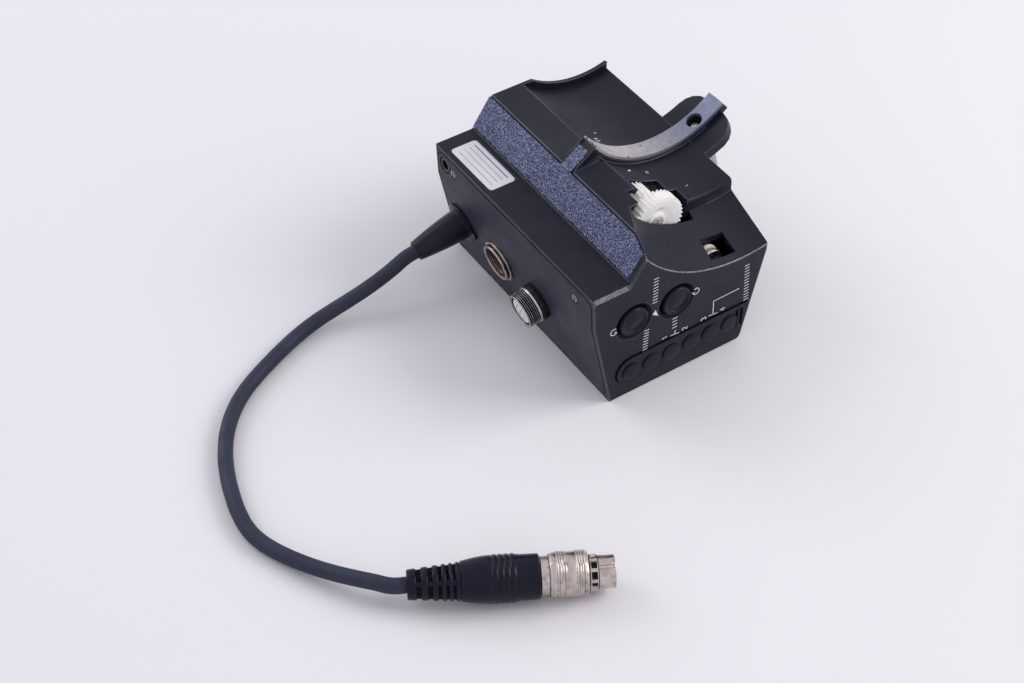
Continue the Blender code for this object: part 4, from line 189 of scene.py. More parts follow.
@dataclass(frozen=True)
class Place:
    """A frame in space: an origin, the way out, and a direction across it."""

    origin: Point
    out: Point
    across: Point = (0.0, 1.0, 0.0)

    def axes(self) -> Array:
        """Works out the frame's directions, each of length one; up is out times across.

        Returns:
            Rows across, up and out.
        """
        out = unit(np.array(self.out))
        across = np.array(self.across)
        across = unit(across - out * (across @ out))
        return np.stack([across, np.cross(out, across), out])

    def points(self, local: Array) -> Array:
        """origin + a across + b up + c out, for local points (a, b, c)."""
        return np.array(self.origin) + np.asarray(local) @ self.axes()

    def round_axis(self, points: Array) -> tuple[Array, Array]:
        """Distance of each point from the line through the origin along out, and its height on that line."""
        a, b, height = ((points - np.array(self.origin)) @ self.axes().T).T
        return np.hypot(a, b), height

    def moved(self, across: float, up: float) -> "Place":
        """The same frame with its origin carried along its own axes."""
        return replace(self, origin=tuple(self.points(np.array([across, up, 0.0]))))


def unit(vector: Array) -> Array:
    """The vector divided by its length."""
    return vector / np.linalg.norm(vector)


def joined(shells: Iterable[Shell]) -> Shell:
    """All surfaces side by side in one mesh."""
    return reduce(Shell.__add__, shells)


def skin(grid: Array, poles: Array | None = None) -> Shell:
    """Closed surface over a grid of points whose columns go round.

    Face (i, j) joins points (i, j), (i, j + 1), (i + 1, j + 1) and (i + 1, j), with columns taken modulo
    their count.

    Args:
        grid: Points, rows by columns by three.
        poles: Two points that close the first and last row, or None to join the last row to the first.

    Returns:
        The closed surface.
    """
    rows, columns = grid.shape[:2]
    index = np.arange(rows * columns).reshape(rows, columns)
    first = index if poles is None else index[:-1]
    second = np.roll(index, -1, axis=0) if poles is None else index[1:]
    quads = np.stack([first, np.roll(first, -1, axis=1), np.roll(second, -1, axis=1), second], axis=-1)
    faces = [tuple(quad) for quad in quads.reshape(-1, 4).tolist()]
    points = grid.reshape(-1, 3)
    if poles is not None:
        for pole, row, step in ((rows * columns, index[0], -1), (rows * columns + 1, index[-1], 1)):
            fan = np.stack([np.full(columns, pole), row, np.roll(row, -step)], axis=-1)
            faces += [tuple(corner) for corner in fan.tolist()]
        points = np.concatenate([points, poles])
    return Shell(points, tuple(faces))


def along(radius: Array | float, height: Array) -> Array:
    """Profile points (radius, height), from two arrays or from one radius at every height."""
    return np.stack(np.broadcast_arrays(radius, height), axis=-1).reshape(-1, 2)


def soften(profile: Line, reach: float, steps: int = 4) -> Array:
    """Rounds the corners of a profile.

    Corner P becomes the curve (1 - t)^2 A + 2 t (1 - t) P + t^2 B, where A and B lie a reach away from P on
    its two sides, and never past the middle of a side. A profile that starts on the axis keeps its two ends.

    Args:
        profile: (radius, height) pairs.
        reach: Distance from a corner to the start of its curve.
        steps: Count of steps in a curve.

    Returns:
        The rounded profile.
    """
    corners = np.asarray(profile, dtype=float)

    def toward(others: Array) -> Array:
        """Points a reach from the corners on the way to the others, at most half way."""
        length = np.maximum(np.linalg.norm(others - corners, axis=1, keepdims=True), DOUBLES)
        return corners + (others - corners) * np.minimum(reach / length, 0.5)

    t = np.linspace(0.0, 1.0, steps + 1)[None, :, None]
    curves = ((1 - t) ** 2 * toward(np.roll(corners, 1, axis=0))[:, None]
              + 2 * t * (1 - t) * corners[:, None] + t ** 2 * toward(np.roll(corners, -1, axis=0))[:, None])
    if corners[0, 0] > 0:
        return curves.reshape(-1, 2)
    return np.concatenate([corners[:1], curves[1:-1].reshape(-1, 2), corners[-1:]])


def turned(profile: Line, place: Place, sides: int = 64, relief: Relief | None = None,
           angles: Array | None = None) -> Shell:
    """Surface of revolution of a profile (r(s), h(s)).

    P(s, t) = origin + h(s) out + (r(s) + relief(t, h, r)) (cos t across + sin t up).

    Args:
        profile: (radius, height) pairs; one that starts and ends on the axis is closed there, any other on
            itself.
        place: Frame whose out direction is the axis.
        sides: Count of even steps round the axis.
        relief: Change of radius as a function of angle, height and radius.
        angles: Uneven steps round the axis, in place of sides.

    Returns:
        The closed surface.
    """
    profile = np.asarray(profile, dtype=float)
    solid = profile[0, 0] == 0
    rings = profile[1:-1] if solid else profile
    t = (np.arange(sides) * TURN / sides if angles is None else angles)[None, :]
    radius, height = rings[:, :1], rings[:, 1:]
    reach = radius + (relief(t, height, radius) if relief else 0.0 * t)
    local = np.stack([reach * np.cos(t), reach * np.sin(t), height + 0.0 * t], axis=-1)
    poles = np.array([[0, 0, profile[0, 1]], [0, 0, profile[-1, 1]]])
    return skin(place.points(local), place.points(poles) if solid else None)


def prism(outline: Array, low: float, high: float, place: Place) -> Shell:
    """A closed outline carried along the frame's way out, with flat ends.

    P(i, h) = origin + a(i) across + b(i) up + h out.

    Args:
        outline: (across, up) points.
        low: Height of the first end.
        high: Height of the second end.
        place: Frame of the outline.

    Returns:
        The closed surface.
    """
    count = len(outline)
    levels = np.repeat([[low], [high]], count, axis=0)
    points = place.points(np.concatenate([np.tile(outline, (2, 1)), levels], axis=1))
    edge = np.arange(count)
    after = np.roll(edge, -1)
    walls = np.stack([edge, after, after + count, edge + count], axis=-1).tolist()
    ends = [tuple(edge[::-1].tolist()), tuple((edge + count).tolist())]
    return Shell(points, tuple(map(tuple, walls)) + tuple(ends))


def stroke(points: Line, width: float) -> Array:
    """Outline of a line: each point moved half a width to both sides, corners mitred.

    Args:
        points: Points of the line.
        width: Width of the line.

    Returns:
        Points of the closed outline.
    """
    line = np.asarray(points, dtype=float)
    ways = np.diff(line, axis=0)
    ways /= np.linalg.norm(ways, axis=1, keepdims=True)
    sides = np.stack([-ways[:, 1], ways[:, 0]], axis=1)
    before, after = np.vstack([sides[:1], sides]), np.vstack([sides, sides[-1:]])
    middle = before + after
    middle /= np.maximum(np.linalg.norm(middle, axis=1, keepdims=True), 0.5)
    lean = np.maximum(np.sum(middle * after, axis=1, keepdims=True), 0.6)
    shift = middle / lean * width / 2
    return np.concatenate([line + shift, (line - shift)[::-1]])


def inked(points: Line, width: float, place: Place, low: float = -INK, high: float = INK) -> Shell:
    """A line of that width as a thin raised mark."""
    return prism(stroke(points, width), low, high, place)


def circle(radius: float, sides: int, centre: Pair = (0.0, 0.0)) -> Array:
    """Points c + r (cos t, sin t)."""
    t = np.arange(sides) * TURN / sides
    return np.array(centre) + radius * np.stack([np.cos(t), np.sin(t)], axis=1)


def arc(radius: float, start: float, end: float, centre: Pair = (0.0, 0.0)) -> Array:
    """Points c + r (cos t, sin t) from one angle to another, in degrees."""
    t = np.radians(np.linspace(start, end, ARC_POINTS))
    return np.array(centre) + radius * np.stack([np.cos(t), np.sin(t)], axis=1)


def window(value: Array, low: float, high: float) -> Array:
    """One where the value lies between two limits, zero elsewhere."""
    return ((value > low) & (value < high)).astype(float)


def apart(angle: Array, centres: Array) -> Array:
    """Smallest distance of each angle to any of the centres, in radians."""
    ways = (np.asarray(angle)[..., None] - centres + math.pi) % TURN - math.pi
    return np.abs(ways).min(axis=-1)


def side_x(height: float) -> float:
    """Half the body's width at a height.

    Args:
        height: Height above the floor.

    Returns:
        The width: the base and a share of the flare, and above the knee a share of the shoulder's flare too.
    """
    if height <= KNEE_HEIGHT:
        return HALF_BASE + SIDE_FLARE * height / KNEE_HEIGHT
    share = (height - KNEE_HEIGHT) / (SHOULDER_HEIGHT - KNEE_HEIGHT)
    return HALF_BASE + SIDE_FLARE + SHOULDER_FLARE * share


def panel_place(y: float, climb: float = SOCKET_ROW, out: float = 0.0) -> Place:
    """Frame on the slanted part of the connector panel.

    Args:
        y: Place along the panel.
        climb: Way up the slope from the floor.
        out: Distance off the panel.

    Returns:
        The frame, its way out square to the slope.
    """
    slope = math.hypot(SIDE_FLARE, KNEE_HEIGHT)
    normal = (-KNEE_HEIGHT / slope, 0.0, -SIDE_FLARE / slope)
    rise = (-SIDE_FLARE / slope, 0.0, KNEE_HEIGHT / slope)
    origin = (-HALF_BASE + rise[0] * climb + normal[0] * out, y, rise[2] * climb + normal[2] * out)
    return Place(origin, normal)


def front_place(x: float, z: float) -> Place:
    """Frame on the front wall: across is +X, up is +Z."""
    return Place((x, FRONT_Y, z), (0.0, -1.0, 0.0), (1.0, 0.0, 0.0))


def pocket_place(y: float, z: float) -> Place:
    """Frame on the upper, nearly upright part of the connector panel, out is -X."""
    return Place((-side_x(z), y, z), (-1.0, 0.0, 0.0))


def saddle_place(y: float, degrees: float, radius: float = SADDLE_RADIUS) -> Place:
    """Frame on the saddle: out points to its axis, up goes along -Y, across runs round it.

    Args:
        y: Place along the saddle.
        degrees: Angle round the saddle's axis.
        radius: Distance from the axis.

    Returns:
        The frame.
    """
    way = np.array([math.cos(math.radians(degrees)), 0.0, math.sin(math.radians(degrees))])
    origin = np.array([SADDLE_X, y, SADDLE_Z]) + way * radius
    return Place(tuple(origin), tuple(-way), (-way[2], 0.0, way[0]))


# Meshes

def linked(name: str, data: bpy.types.ID) -> bpy.types.Object:
    """A new object with that data, in the scene.

    Args:
        name: Name of the object.
        data: Its mesh, curve, lamp or camera.

    Returns:
        The object.
    """
    item = bpy.data.objects.new(name, data)
    bpy.context.scene.collection.objects.link(item)
    return item


def aimed(item: bpy.types.Object, place: Point, way: Vector) -> None:
    """Puts a camera or lamp at a place, looking along a way."""
    item.matrix_world = Matrix.Translation(place) @ way.to_track_quat("-Z", "Y").to_matrix().to_4x4()


def shown(name: str, mesh: bpy.types.Mesh, sharp: float) -> bpy.types.Object:
    """Makes a mesh an object at the origin.

    Args:
        name: Name of the object.
        mesh: Its mesh.
        sharp: Angle in degrees up to which it is shaded smooth.

    Returns:
        The object.
    """
    mesh.shade_smooth()
    mesh.set_sharp_from_angle(angle=math.radians(sharp))
    return linked(name, mesh)


def numbers(items: bpy.types.bpy_prop_collection, name: str, width: int = 3, kind: type = float) -> Array:
    """Reads one property of all faces, corners or points of a mesh.

    Args:
        items: The mesh's collection.
        name: The property.
        width: Count of numbers in the property.
        kind: float or int.

    Returns:
        One number or one row of numbers an item.
    """
    flat = np.empty(len(items) * width, dtype=kind)
    items.foreach_get(name, flat)
    return flat if width == 1 else flat.reshape(-1, width)


def sort_faces(mesh: bpy.types.Mesh, chosen: Array) -> None:
    """Gives each face of a mesh the number of its finish."""
    mesh.polygons.foreach_set("material_index", chosen.astype(np.int32))


def mesh_piece(name: str, shell: Shell, sharp: float, kinds: Kinds | None) -> bpy.types.Object:
    """Makes a closed surface an object whose faces point outwards.

    Args:
        name: Name of the new piece.
        shell: The closed surface.
        sharp: Angle in degrees up to which it is shaded smooth.
        kinds: Number of the finish of each face, from the faces' middle points in millimetres.

    Returns:
        The new object.
    """
    mesh = bpy.data.meshes.new(name)
    mesh.from_pydata((shell.points * MM).tolist(), [], [list(face) for face in shell.faces])
    if kinds is not None:
        sort_faces(mesh, kinds(np.array([shell.points[list(face)].mean(axis=0) for face in shell.faces])))
    work = bmesh.new()
    work.from_mesh(mesh)
    bmesh.ops.recalc_face_normals(work, faces=work.faces)
    work.to_mesh(mesh)
    work.free()
    return shown(name, mesh, sharp)


def node_copy(name: str, node: str, weights: Weights | None, kinds: Kinds | None) -> bpy.types.Object:
    """A merged copy of a node's mesh, with its flat faces joined.

    Args:
        name: Name of the new piece.
        node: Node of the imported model.
        weights: Bevel weight from an edge's middle point in millimetres and its signed angle in degrees,
            positive on an outer edge.
        kinds: Number of the finish of each face, from the faces' middle points in millimetres.

    Returns:
        The new object.
    """
    work = bmesh.new()
    work.from_mesh(frame["nodes"][node].data)
    bmesh.ops.remove_doubles(work, verts=work.verts, dist=DOUBLES)
    bmesh.ops.dissolve_limit(work, angle_limit=math.radians(JOIN_ANGLE), verts=work.verts, edges=work.edges)
    if weights is not None:
        middles = np.array([((edge.verts[0].co + edge.verts[1].co) / 2)[:] for edge in work.edges]) / MM
        angles = np.degrees([edge.calc_face_angle_signed(0.0) for edge in work.edges])
        layer = work.edges.layers.float.new("bevel_weight_edge")
        for edge, value in zip(work.edges, weights(middles, angles).tolist()):
            edge[layer] = value
    mesh = bpy.data.meshes.new(name)
    work.to_mesh(mesh)
    work.free()
    if kinds is not None:
        sort_faces(mesh, kinds(numbers(mesh.polygons, "center") / MM))
    return shown(name, mesh, EDGE_ANGLE)


@dataclass(frozen=True)
class Rounding:
    """How the edges of a piece are rounded: width in millimetres, and the finish of the rounded faces."""

    width: float
    segments: int = 2
    by_weight: bool = False
    edge_finish: int = -1

    def apply(self, piece: bpy.types.Object) -> None:
        """Adds a bevel, and normals weighted by the faces' sizes.

        Args:
            piece: The piece to round.
        """
        bevel = piece.modifiers.new("rounded edges", "BEVEL")
        bevel.width = self.width * MM
        bevel.segments = self.segments
        bevel.limit_method = "WEIGHT" if self.by_weight else "ANGLE"
        bevel.angle_limit = math.radians(EDGE_ANGLE)
        bevel.use_clamp_overlap = not self.by_weight
        bevel.material = self.edge_finish
        bevel.miter_outer = "MITER_ARC"
        normals = piece.modifiers.new("face weighted normals", "WEIGHTED_NORMAL")
        normals.keep_sharp = True


def settle(piece: bpy.types.Object) -> None:
    """Applies a piece's modifiers, so that its normals can be set.

    Args:
        piece: The piece.
    """
    graph = bpy.context.evaluated_depsgraph_get()
    rough = piece.data
    piece.data = bpy.data.meshes.new_from_object(piece.evaluated_get(graph), depsgraph=graph)
    piece.modifiers.clear()
    bpy.data.meshes.remove(rough)


def true_normals(points: Array, lean: float) -> Array:
    """Normals of a round surface of the saddle: (-dx, -k r, -dz) / r over the square root of 1 + k^2.

    Args:
        points: Points of the surface, dx and dz off the saddle's axis, at the distance r from it.
        lean: Growth k of the radius for each step towards the front, 0 on a cylinder.

    Returns:
        One normal a point.
    """
    dx, dz = points[:, 0] - SADDLE_X, points[:, 2] - SADDLE_Z
    reach = np.hypot(dx, dz)
    return np.stack([-dx / reach, np.full(len(points), -lean), -dz / reach], axis=1) / math.hypot(1.0, lean)


def saddle_normals(mesh: bpy.types.Mesh) -> None:
    """Gives the facets of the saddle, the strip and the cone the normals of their true surfaces.

    A face takes part where its middle lies on such a surface and its own normal agrees with it.

    Args:
        mesh: A mesh without modifiers.
    """
    middles, flats = numbers(mesh.polygons, "center") / MM, numbers(mesh.polygons, "normal")
    counts, owners = numbers(mesh.polygons, "loop_total", 1, int), numbers(mesh.loops, "vertex_index", 1, int)
    places, normals = numbers(mesh.vertices, "co") / MM, numbers(mesh.corner_normals, "vector")
    reach = np.hypot(middles[:, 0] - SADDLE_X, middles[:, 2] - SADDLE_Z)
    cone = CONE_REAR_RADIUS + CONE_LEAN * (STEP_Y - middles[:, 1])
    for radius, lean, on_part in ((SADDLE_RADIUS, 0.0, middles[:, 1] > STEP_Y), (BARREL_RADIUS, 0.0, True),
                                  (cone, CONE_LEAN, middles[:, 1] < STEP_Y)):
        agree = np.sum(flats * true_normals(middles, lean), axis=1) > FACET_AGREEMENT
        chosen = np.repeat(on_part & (np.abs(reach - radius) < FACET_REACH) & agree, counts)
        normals[chosen] = true_normals(places[owners[chosen]], lean)
    mesh.normals_split_custom_set(normals.tolist())


# Finishes

def linear(colour: Colour) -> tuple[float, float, float, float]:
    """Turns a screen colour into linear light.

    Args:
        colour: Red, green and blue, 0 to 255.

    Returns:
        Red, green, blue and an alpha of one, 0 to 1.
    """
    share = np.array(colour) / 255
    light = np.where(share <= 0.04045, share / 12.92, ((share + 0.055) / 1.055) ** 2.4)
    return (*light.tolist(), 1.0)


def principled(name: str, values: dict[str, object]) -> bpy.types.Material:
    """A new Principled material.

    Args:
        name: Name of the material.
        values: Values of the shader's own sockets, by name.

    Returns:
        The material.
    """
    made = bpy.data.materials.new(name)
    made.use_nodes = True
    for key, value in values.items():
        made.node_tree.nodes["Principled BSDF"].inputs[key].default_value = value
    return made


class Tree:
    """Adds and joins shader nodes."""

    def __init__(self, tree: bpy.types.NodeTree) -> None:
        """Keeps the node tree."""
        self.tree = tree

    def add(self, kind: str, inputs: dict | None = None, **settings: object) -> bpy.types.Node:
        """Adds a node.

        Args:
            kind: The node's type name without its ShaderNode prefix.
            inputs: Values or sockets by input name or number.
            **settings: The node's own properties.

        Returns:
            The node.
        """
        node = self.tree.nodes.new(kind if kind.startswith("Node") else f"ShaderNode{kind}")
        for key, value in settings.items():
            setattr(node, key, value)
        for key, value in (inputs or {}).items():
            if isinstance(value, Socket):
                self.tree.links.new(value, node.inputs[key])
            else:
                node.inputs[key].default_value = value
        return node

    def math(self, operation: str, *values: Socket | float) -> Socket:
        """A maths node on one to three values."""
        return self.add("Math", dict(enumerate(values)), operation=operation).outputs[0]

    def vector(self, operation: str, *values: Socket | Sequence[float]) -> bpy.types.Node:
        """A vector maths node on one or two vectors."""
        return self.add("VectorMath", dict(enumerate(values)), operation=operation)

    def blend(self, share: Socket, first: Socket | tuple, second: Socket | tuple) -> Socket:
        """Mixes two colours."""
        return self.add("Mix", {0: share, 6: first, 7: second}, data_type="RGBA", blend_type="MIX").outputs[2]

    def group(self, tree: bpy.types.NodeTree, **inputs: Socket | float | Point) -> Socket:
        """Places a shared group with its own values and returns its output."""
        return self.add("Group", inputs, node_tree=tree).outputs[0]


def new_group(name: str, inputs: dict[str, float | None], output: str,
              fill: Callable[[Tree, Sockets], Socket]) -> bpy.types.NodeTree:
    """Makes a shader group.

    Args:
        name: The group's name.
        inputs: Default value by input name; None makes a vector input.
        output: Name of its value output.
        fill: Adds the group's nodes, from its tree and input sockets, and returns what goes out.

    Returns:
        The group.
    """
    tree = bpy.data.node_groups.new(name, "ShaderNodeTree")
    for key, value in inputs.items():
        kind = "NodeSocketVector" if value is None else "NodeSocketFloat"
        made = tree.interface.new_socket(name=key, in_out="INPUT", socket_type=kind)
        if value is not None:
            made.default_value = value
    tree.interface.new_socket(name=output, in_out="OUTPUT", socket_type="NodeSocketFloat")
    work = Tree(tree)
    source = work.add("NodeGroupInput")
    work.add("NodeGroupOutput", {output: fill(work, {key: source.outputs[key] for key in inputs})})
    return tree


class Effects:
    """Shader groups that the finishes share: patches, grain, hairlines and sparkle."""

    def __init__(self) -> None:
        """Builds the four groups once."""
        self.patches = new_group("patches", {"Position": None, "Scale": 100.0, "Low": 0.4, "High": 0.6},
                                 "Mask", self.patch_mask)
        self.grain = new_group("grain", {"Position": None, "Scale": 1000.0}, "Height", self.grain_height)
        self.hairlines = new_group("hairlines", {"Position": None, "Stretch": None, "Width": 0.01}, "Mask",
                                   self.hairline_mask)
        self.sparkle = new_group("sparkle", {"Position": None, "Scale": 3000.0, "Power": 3.0}, "Mask",
                                 self.sparkle_mask)

    @staticmethod
    def patch_mask(work: Tree, source: Sockets) -> Socket:
        """Noise of the place, stretched from Low..High to 0..1."""
        noise = work.add("TexNoise", {"Vector": source["Position"], "Scale": source["Scale"], "Detail": 5.0})
        return work.add("MapRange", {0: noise.outputs[0], 1: source["Low"], 2: source["High"]}).outputs[0]

    @staticmethod
    def grain_height(work: Tree, source: Sockets) -> Socket:
        """Fine noise plus half of a coarser one.

        Args:
            work: The group's nodes.
            source: Its inputs.

        Returns:
            The height.
        """
        fine = work.add("TexNoise", {"Vector": source["Position"], "Scale": source["Scale"], "Detail": 2.0})
        coarse = work.add("TexNoise", {"Vector": source["Position"], "Detail": 1.0,
                                       "Scale": work.math("MULTIPLY", source["Scale"], 0.31)})
        return work.math("MULTIPLY_ADD", coarse.outputs[0], 0.5, fine.outputs[0])

    @staticmethod
    def hairline_mask(work: Tree, source: Sockets) -> Socket:
        """Thin contour lines of noise that is stretched along one direction, broken up by larger noise.

        Args:
            work: The group's nodes.
            source: Its inputs.

        Returns:
            The mask.
        """
        place = work.vector("MULTIPLY", source["Position"], source["Stretch"]).outputs[0]
        noise = work.add("TexNoise", {"Vector": place, "Scale": 1.0, "Detail": 3.0, "Distortion": 0.4})
        off = work.math("ABSOLUTE", work.math("SUBTRACT", noise.outputs[0], 0.5))
        line = work.math("SUBTRACT", 1.0, work.math("DIVIDE", off, source["Width"]))
        broken = work.add("TexNoise", {"Vector": place, "Scale": 0.37, "Detail": 2.0})
        keep = work.add("MapRange", {0: broken.outputs[0], 1: 0.5, 2: 0.62})
        return work.math("MULTIPLY", work.math("MAXIMUM", line, 0.0), keep.outputs[0])

    @staticmethod
    def sparkle_mask(work: Tree, source: Sockets) -> Socket:
        """One random number a cell, raised to a power, so that few cells are bright.

        Args:
            work: The group's nodes.
            source: Its inputs.

        Returns:
            The mask.
        """
        cells = work.add("TexVoronoi", {"Vector": source["Position"], "Scale": source["Scale"]})
        shade = work.add("SeparateColor", {0: cells.outputs["Color"]})
        return work.math("POWER", shade.outputs[0], source["Power"])


# What every finish shares: levels of noise, and changes of height and roughness
PATCH_LEVELS = {"Low": 0.35, "High": 0.65}
SPARKLE_POWER, SPARKLE_GLOSS = 3.2, -0.25
SCRATCH_WIDTH, SCRATCH_DEPTH = 0.012, -2.0
WORN_LEVELS, WORN_SPREAD, WORN_GLOSS = {"Low": 0.62, "High": 0.74}, -0.3, -0.12
WORN_EDGE, WORN_CORE = 1.1, 0.7  # where a worn place begins and is full, as shares of its reach
# Reach of an arc of wear and painted highlight round the saddle's axis
WORN_LIT_ARC_EDGE, WORN_LIT_ARC_CORE = 0.6 * MM, 0.3 * MM
DUST = {"Scale": 1400.0, "Low": 0.70, "High": 0.76}
DUST_COLOUR: Colour = (150, 148, 150)
BUMP_STRENGTH = 0.6
GLOW_DEPTH, GLOW_RADIUS = 1.5 * MM, (1.0, 0.95, 0.88)


@dataclass(frozen=True)
class Finish:
    """One surface finish: two tones in patches, grain, scratches, worn spots, dust, sparkle, and a fade along
    X that paints light and shade.
    """

    name: str
    colour: Colour
    tone: Colour
    roughness: float = 0.5
    swing: float = 0.1
    metallic: float = 0.0
    patch_scale: float = 120.0
    grain_scale: float = 1800.0
    grain_depth: float = 0.02
    scratch: float = 0.0
    scratch_colour: Colour = (150, 150, 155)
    scratch_stretch: Point = (60.0, 900.0, 700.0)
    worn: float = 0.0
    worn_and_lit_places: tuple[tuple[Point, Point, float], ...] = ()
    worn_and_lit_arcs: tuple[Pair, ...] = ()
    worn_colour: Colour = (150, 146, 142)
    worn_scale: float = 500.0
    dust: float = 0.0
    sparkle: float = 0.0
    sparkle_colour: Colour = (150, 160, 200)
    soft_light: float = 0.0
    painted_light_fade: Pair | None = None
    painted_shade_colour: Colour = (120, 126, 150)
    specular: float = 0.5

    def material(self, effects: Effects) -> bpy.types.Material:
        """Builds the finish once and returns it.

        Args:
            effects: The shared shader groups.

        Returns:
            The Principled material.
        """
        if self.name in bpy.data.materials:
            return bpy.data.materials[self.name]
        made = principled(self.name, {
            "Metallic": self.metallic, "Specular IOR Level": self.specular,
            "Subsurface Weight": self.soft_light, "Subsurface Scale": GLOW_DEPTH,
            "Subsurface Radius": GLOW_RADIUS})
        work = Tree(made.node_tree)
        place = work.add("TexCoord").outputs["Object"]
        patches = work.group(effects.patches, Position=place, Scale=self.patch_scale, **PATCH_LEVELS)
        colour = work.blend(patches, linear(self.colour), linear(self.tone))
        rough = work.math("MULTIPLY_ADD", patches, self.swing, self.roughness - self.swing / 2)
        # Painted light: the colour fades along X from the lit base to a darker blue shade
        if self.painted_light_fade:
            along_x = work.add("SeparateXYZ", {0: place}).outputs[0]
            share = work.add("MapRange", {0: along_x, 1: self.painted_light_fade[0] * MM, 2: self.painted_light_fade[1] * MM}).outputs[0]
            colour = work.blend(share, colour, linear(self.painted_shade_colour))
        height = work.group(effects.grain, Position=place, Scale=self.grain_scale)
        if self.sparkle:
            mask = work.group(effects.sparkle, Position=place, Scale=self.grain_scale, Power=SPARKLE_POWER)
            share = work.math("MULTIPLY", mask, self.sparkle)
            colour = work.blend(share, colour, linear(self.sparkle_colour))
            rough = work.math("MULTIPLY_ADD", mask, SPARKLE_GLOSS, rough)
        if self.scratch:
            lines = work.group(effects.hairlines, Position=place, Stretch=self.scratch_stretch,
                               Width=SCRATCH_WIDTH)
            lines = work.math("MULTIPLY", lines, self.scratch)
            colour = work.blend(lines, colour, linear(self.scratch_colour))
            height = work.math("MULTIPLY_ADD", lines, SCRATCH_DEPTH, height)
        if self.worn:
            amount = self.worn_amount(work, place)
            levels = {key: work.math("MULTIPLY_ADD", amount, WORN_SPREAD, level)
                      for key, level in WORN_LEVELS.items()}
            spots = work.group(effects.patches, Position=place, Scale=self.worn_scale, **levels)
            colour = work.blend(spots, colour, linear(self.worn_colour))
            rough = work.math("MULTIPLY_ADD", spots, WORN_GLOSS, rough)
        if self.dust:
            motes = work.group(effects.patches, Position=place, **DUST)
            colour = work.blend(work.math("MULTIPLY", motes, self.dust), colour, linear(DUST_COLOUR))
        bump = work.add("Bump", {"Height": height, "Strength": BUMP_STRENGTH,
                                 "Distance": self.grain_depth * MM})
        shader = made.node_tree.nodes["Principled BSDF"]
        for key, socket in (("Base Color", colour), ("Roughness", rough), ("Normal", bump.outputs[0])):
            made.node_tree.links.new(socket, shader.inputs[key])
        return made

    def worn_amount(self, work: Tree, place: Socket) -> Socket | float:
        """How worn each point p is: the largest of the plain share and the shares of the worn places.

        A worn place begins where |p - centre| / reach falls below WORN_EDGE on every axis and is full below
        WORN_CORE. A worn arc does the same with the difference between its radius and p's distance from the
        saddle's axis. On the casting's edges the places and arcs paint highlights as well as wear.

        Args:
            work: The material's nodes.
            place: The point p.

        Returns:
            The amount, 0 to 1.
        """
        amount = self.worn
        for centre, reach, share in self.worn_and_lit_places:
            away = work.vector("SUBTRACT", place, [c * MM for c in centre]).outputs[0]
            away = work.vector("DIVIDE", away, [r * MM for r in reach]).outputs[0]
            parts = work.add("SeparateXYZ", {0: work.vector("ABSOLUTE", away).outputs[0]}).outputs
            far = work.math("MAXIMUM", work.math("MAXIMUM", parts[0], parts[1]), parts[2])
            inside = work.add("MapRange", {0: far, 1: WORN_EDGE, 2: WORN_CORE, 4: share}).outputs[0]
            amount = work.math("MAXIMUM", amount, inside)
        for radius, share in self.worn_and_lit_arcs:
            flat = work.vector("MULTIPLY", place, (1.0, 0.0, 1.0)).outputs[0]
            reach = work.vector("DISTANCE", flat, (SADDLE_X * MM, 0.0, SADDLE_Z * MM)).outputs["Value"]
            off = work.math("ABSOLUTE", work.math("SUBTRACT", reach, radius * MM))
            inside = work.add("MapRange", {0: off, 1: WORN_LIT_ARC_EDGE, 2: WORN_LIT_ARC_CORE, 4: share}).outputs[0]
            amount = work.math("MAXIMUM", amount, inside)
        return amount


CASTING = Finish("satin black casting", (24, 25, 40), (21, 22, 36), 0.44, 0.08, grain_scale=2600.0,
                 grain_depth=0.03, scratch=0.06, scratch_colour=(80, 80, 92), dust=0.06, specular=0.22)
# Rounded casting edges: a lighter, glossier colour that paints a soft highlight on every edge; silvery spots
# on the front shoulder, partly real wear and partly painted highlight; and a light line along the cone's front
# edge, a painted highlight drawn with the same spots
CASTING_EDGE_WEAR_AND_HIGHLIGHT = replace(CASTING, name="worn casting edge with painted highlight", colour=(44, 46, 62), tone=(38, 40, 54),
                       roughness=0.3, specular=0.5, worn=0.01, worn_colour=(150, 148, 150), worn_scale=4200.0,
                       worn_and_lit_places=(((-27.5, FRONT_Y, SHOULDER_HEIGHT), (7.5, 2.4, 2.4), 0.62),),
                       worn_and_lit_arcs=((CONE_FRONT_RADIUS, 0.6),))
# Painted highlight: the real corner fillets are coloured lighter than the casting, standing for the light
# lines they catch
FILLET_HIGHLIGHT = replace(CASTING, name="fillet painted highlight", colour=(74, 72, 76), tone=(52, 51, 56), roughness=0.38,
                 patch_scale=900.0, specular=0.5)
STRIP_END = Finish("worn strip end", (30, 30, 35), (24, 24, 28), 0.36, 0.1, worn=0.5,
                   worn_colour=(206, 204, 200), worn_scale=2400.0, specular=0.5)
# Painted shade: near-black finish laid in the button wells and on the plug's window and slot floors, where
# there is only shade; the nick marks use it too
RECESS_SHADE = Finish("painted recess shade", (9, 10, 14), (7, 8, 11), 0.5, 0.1, grain_depth=0.01, specular=0.12)
PANEL = Finish("connector panel paint", (46, 45, 62), (41, 40, 56), 0.5, 0.08, grain_scale=3200.0,
               grain_depth=0.015, scratch=0.08, scratch_colour=(100, 100, 112), dust=0.1, specular=0.3)
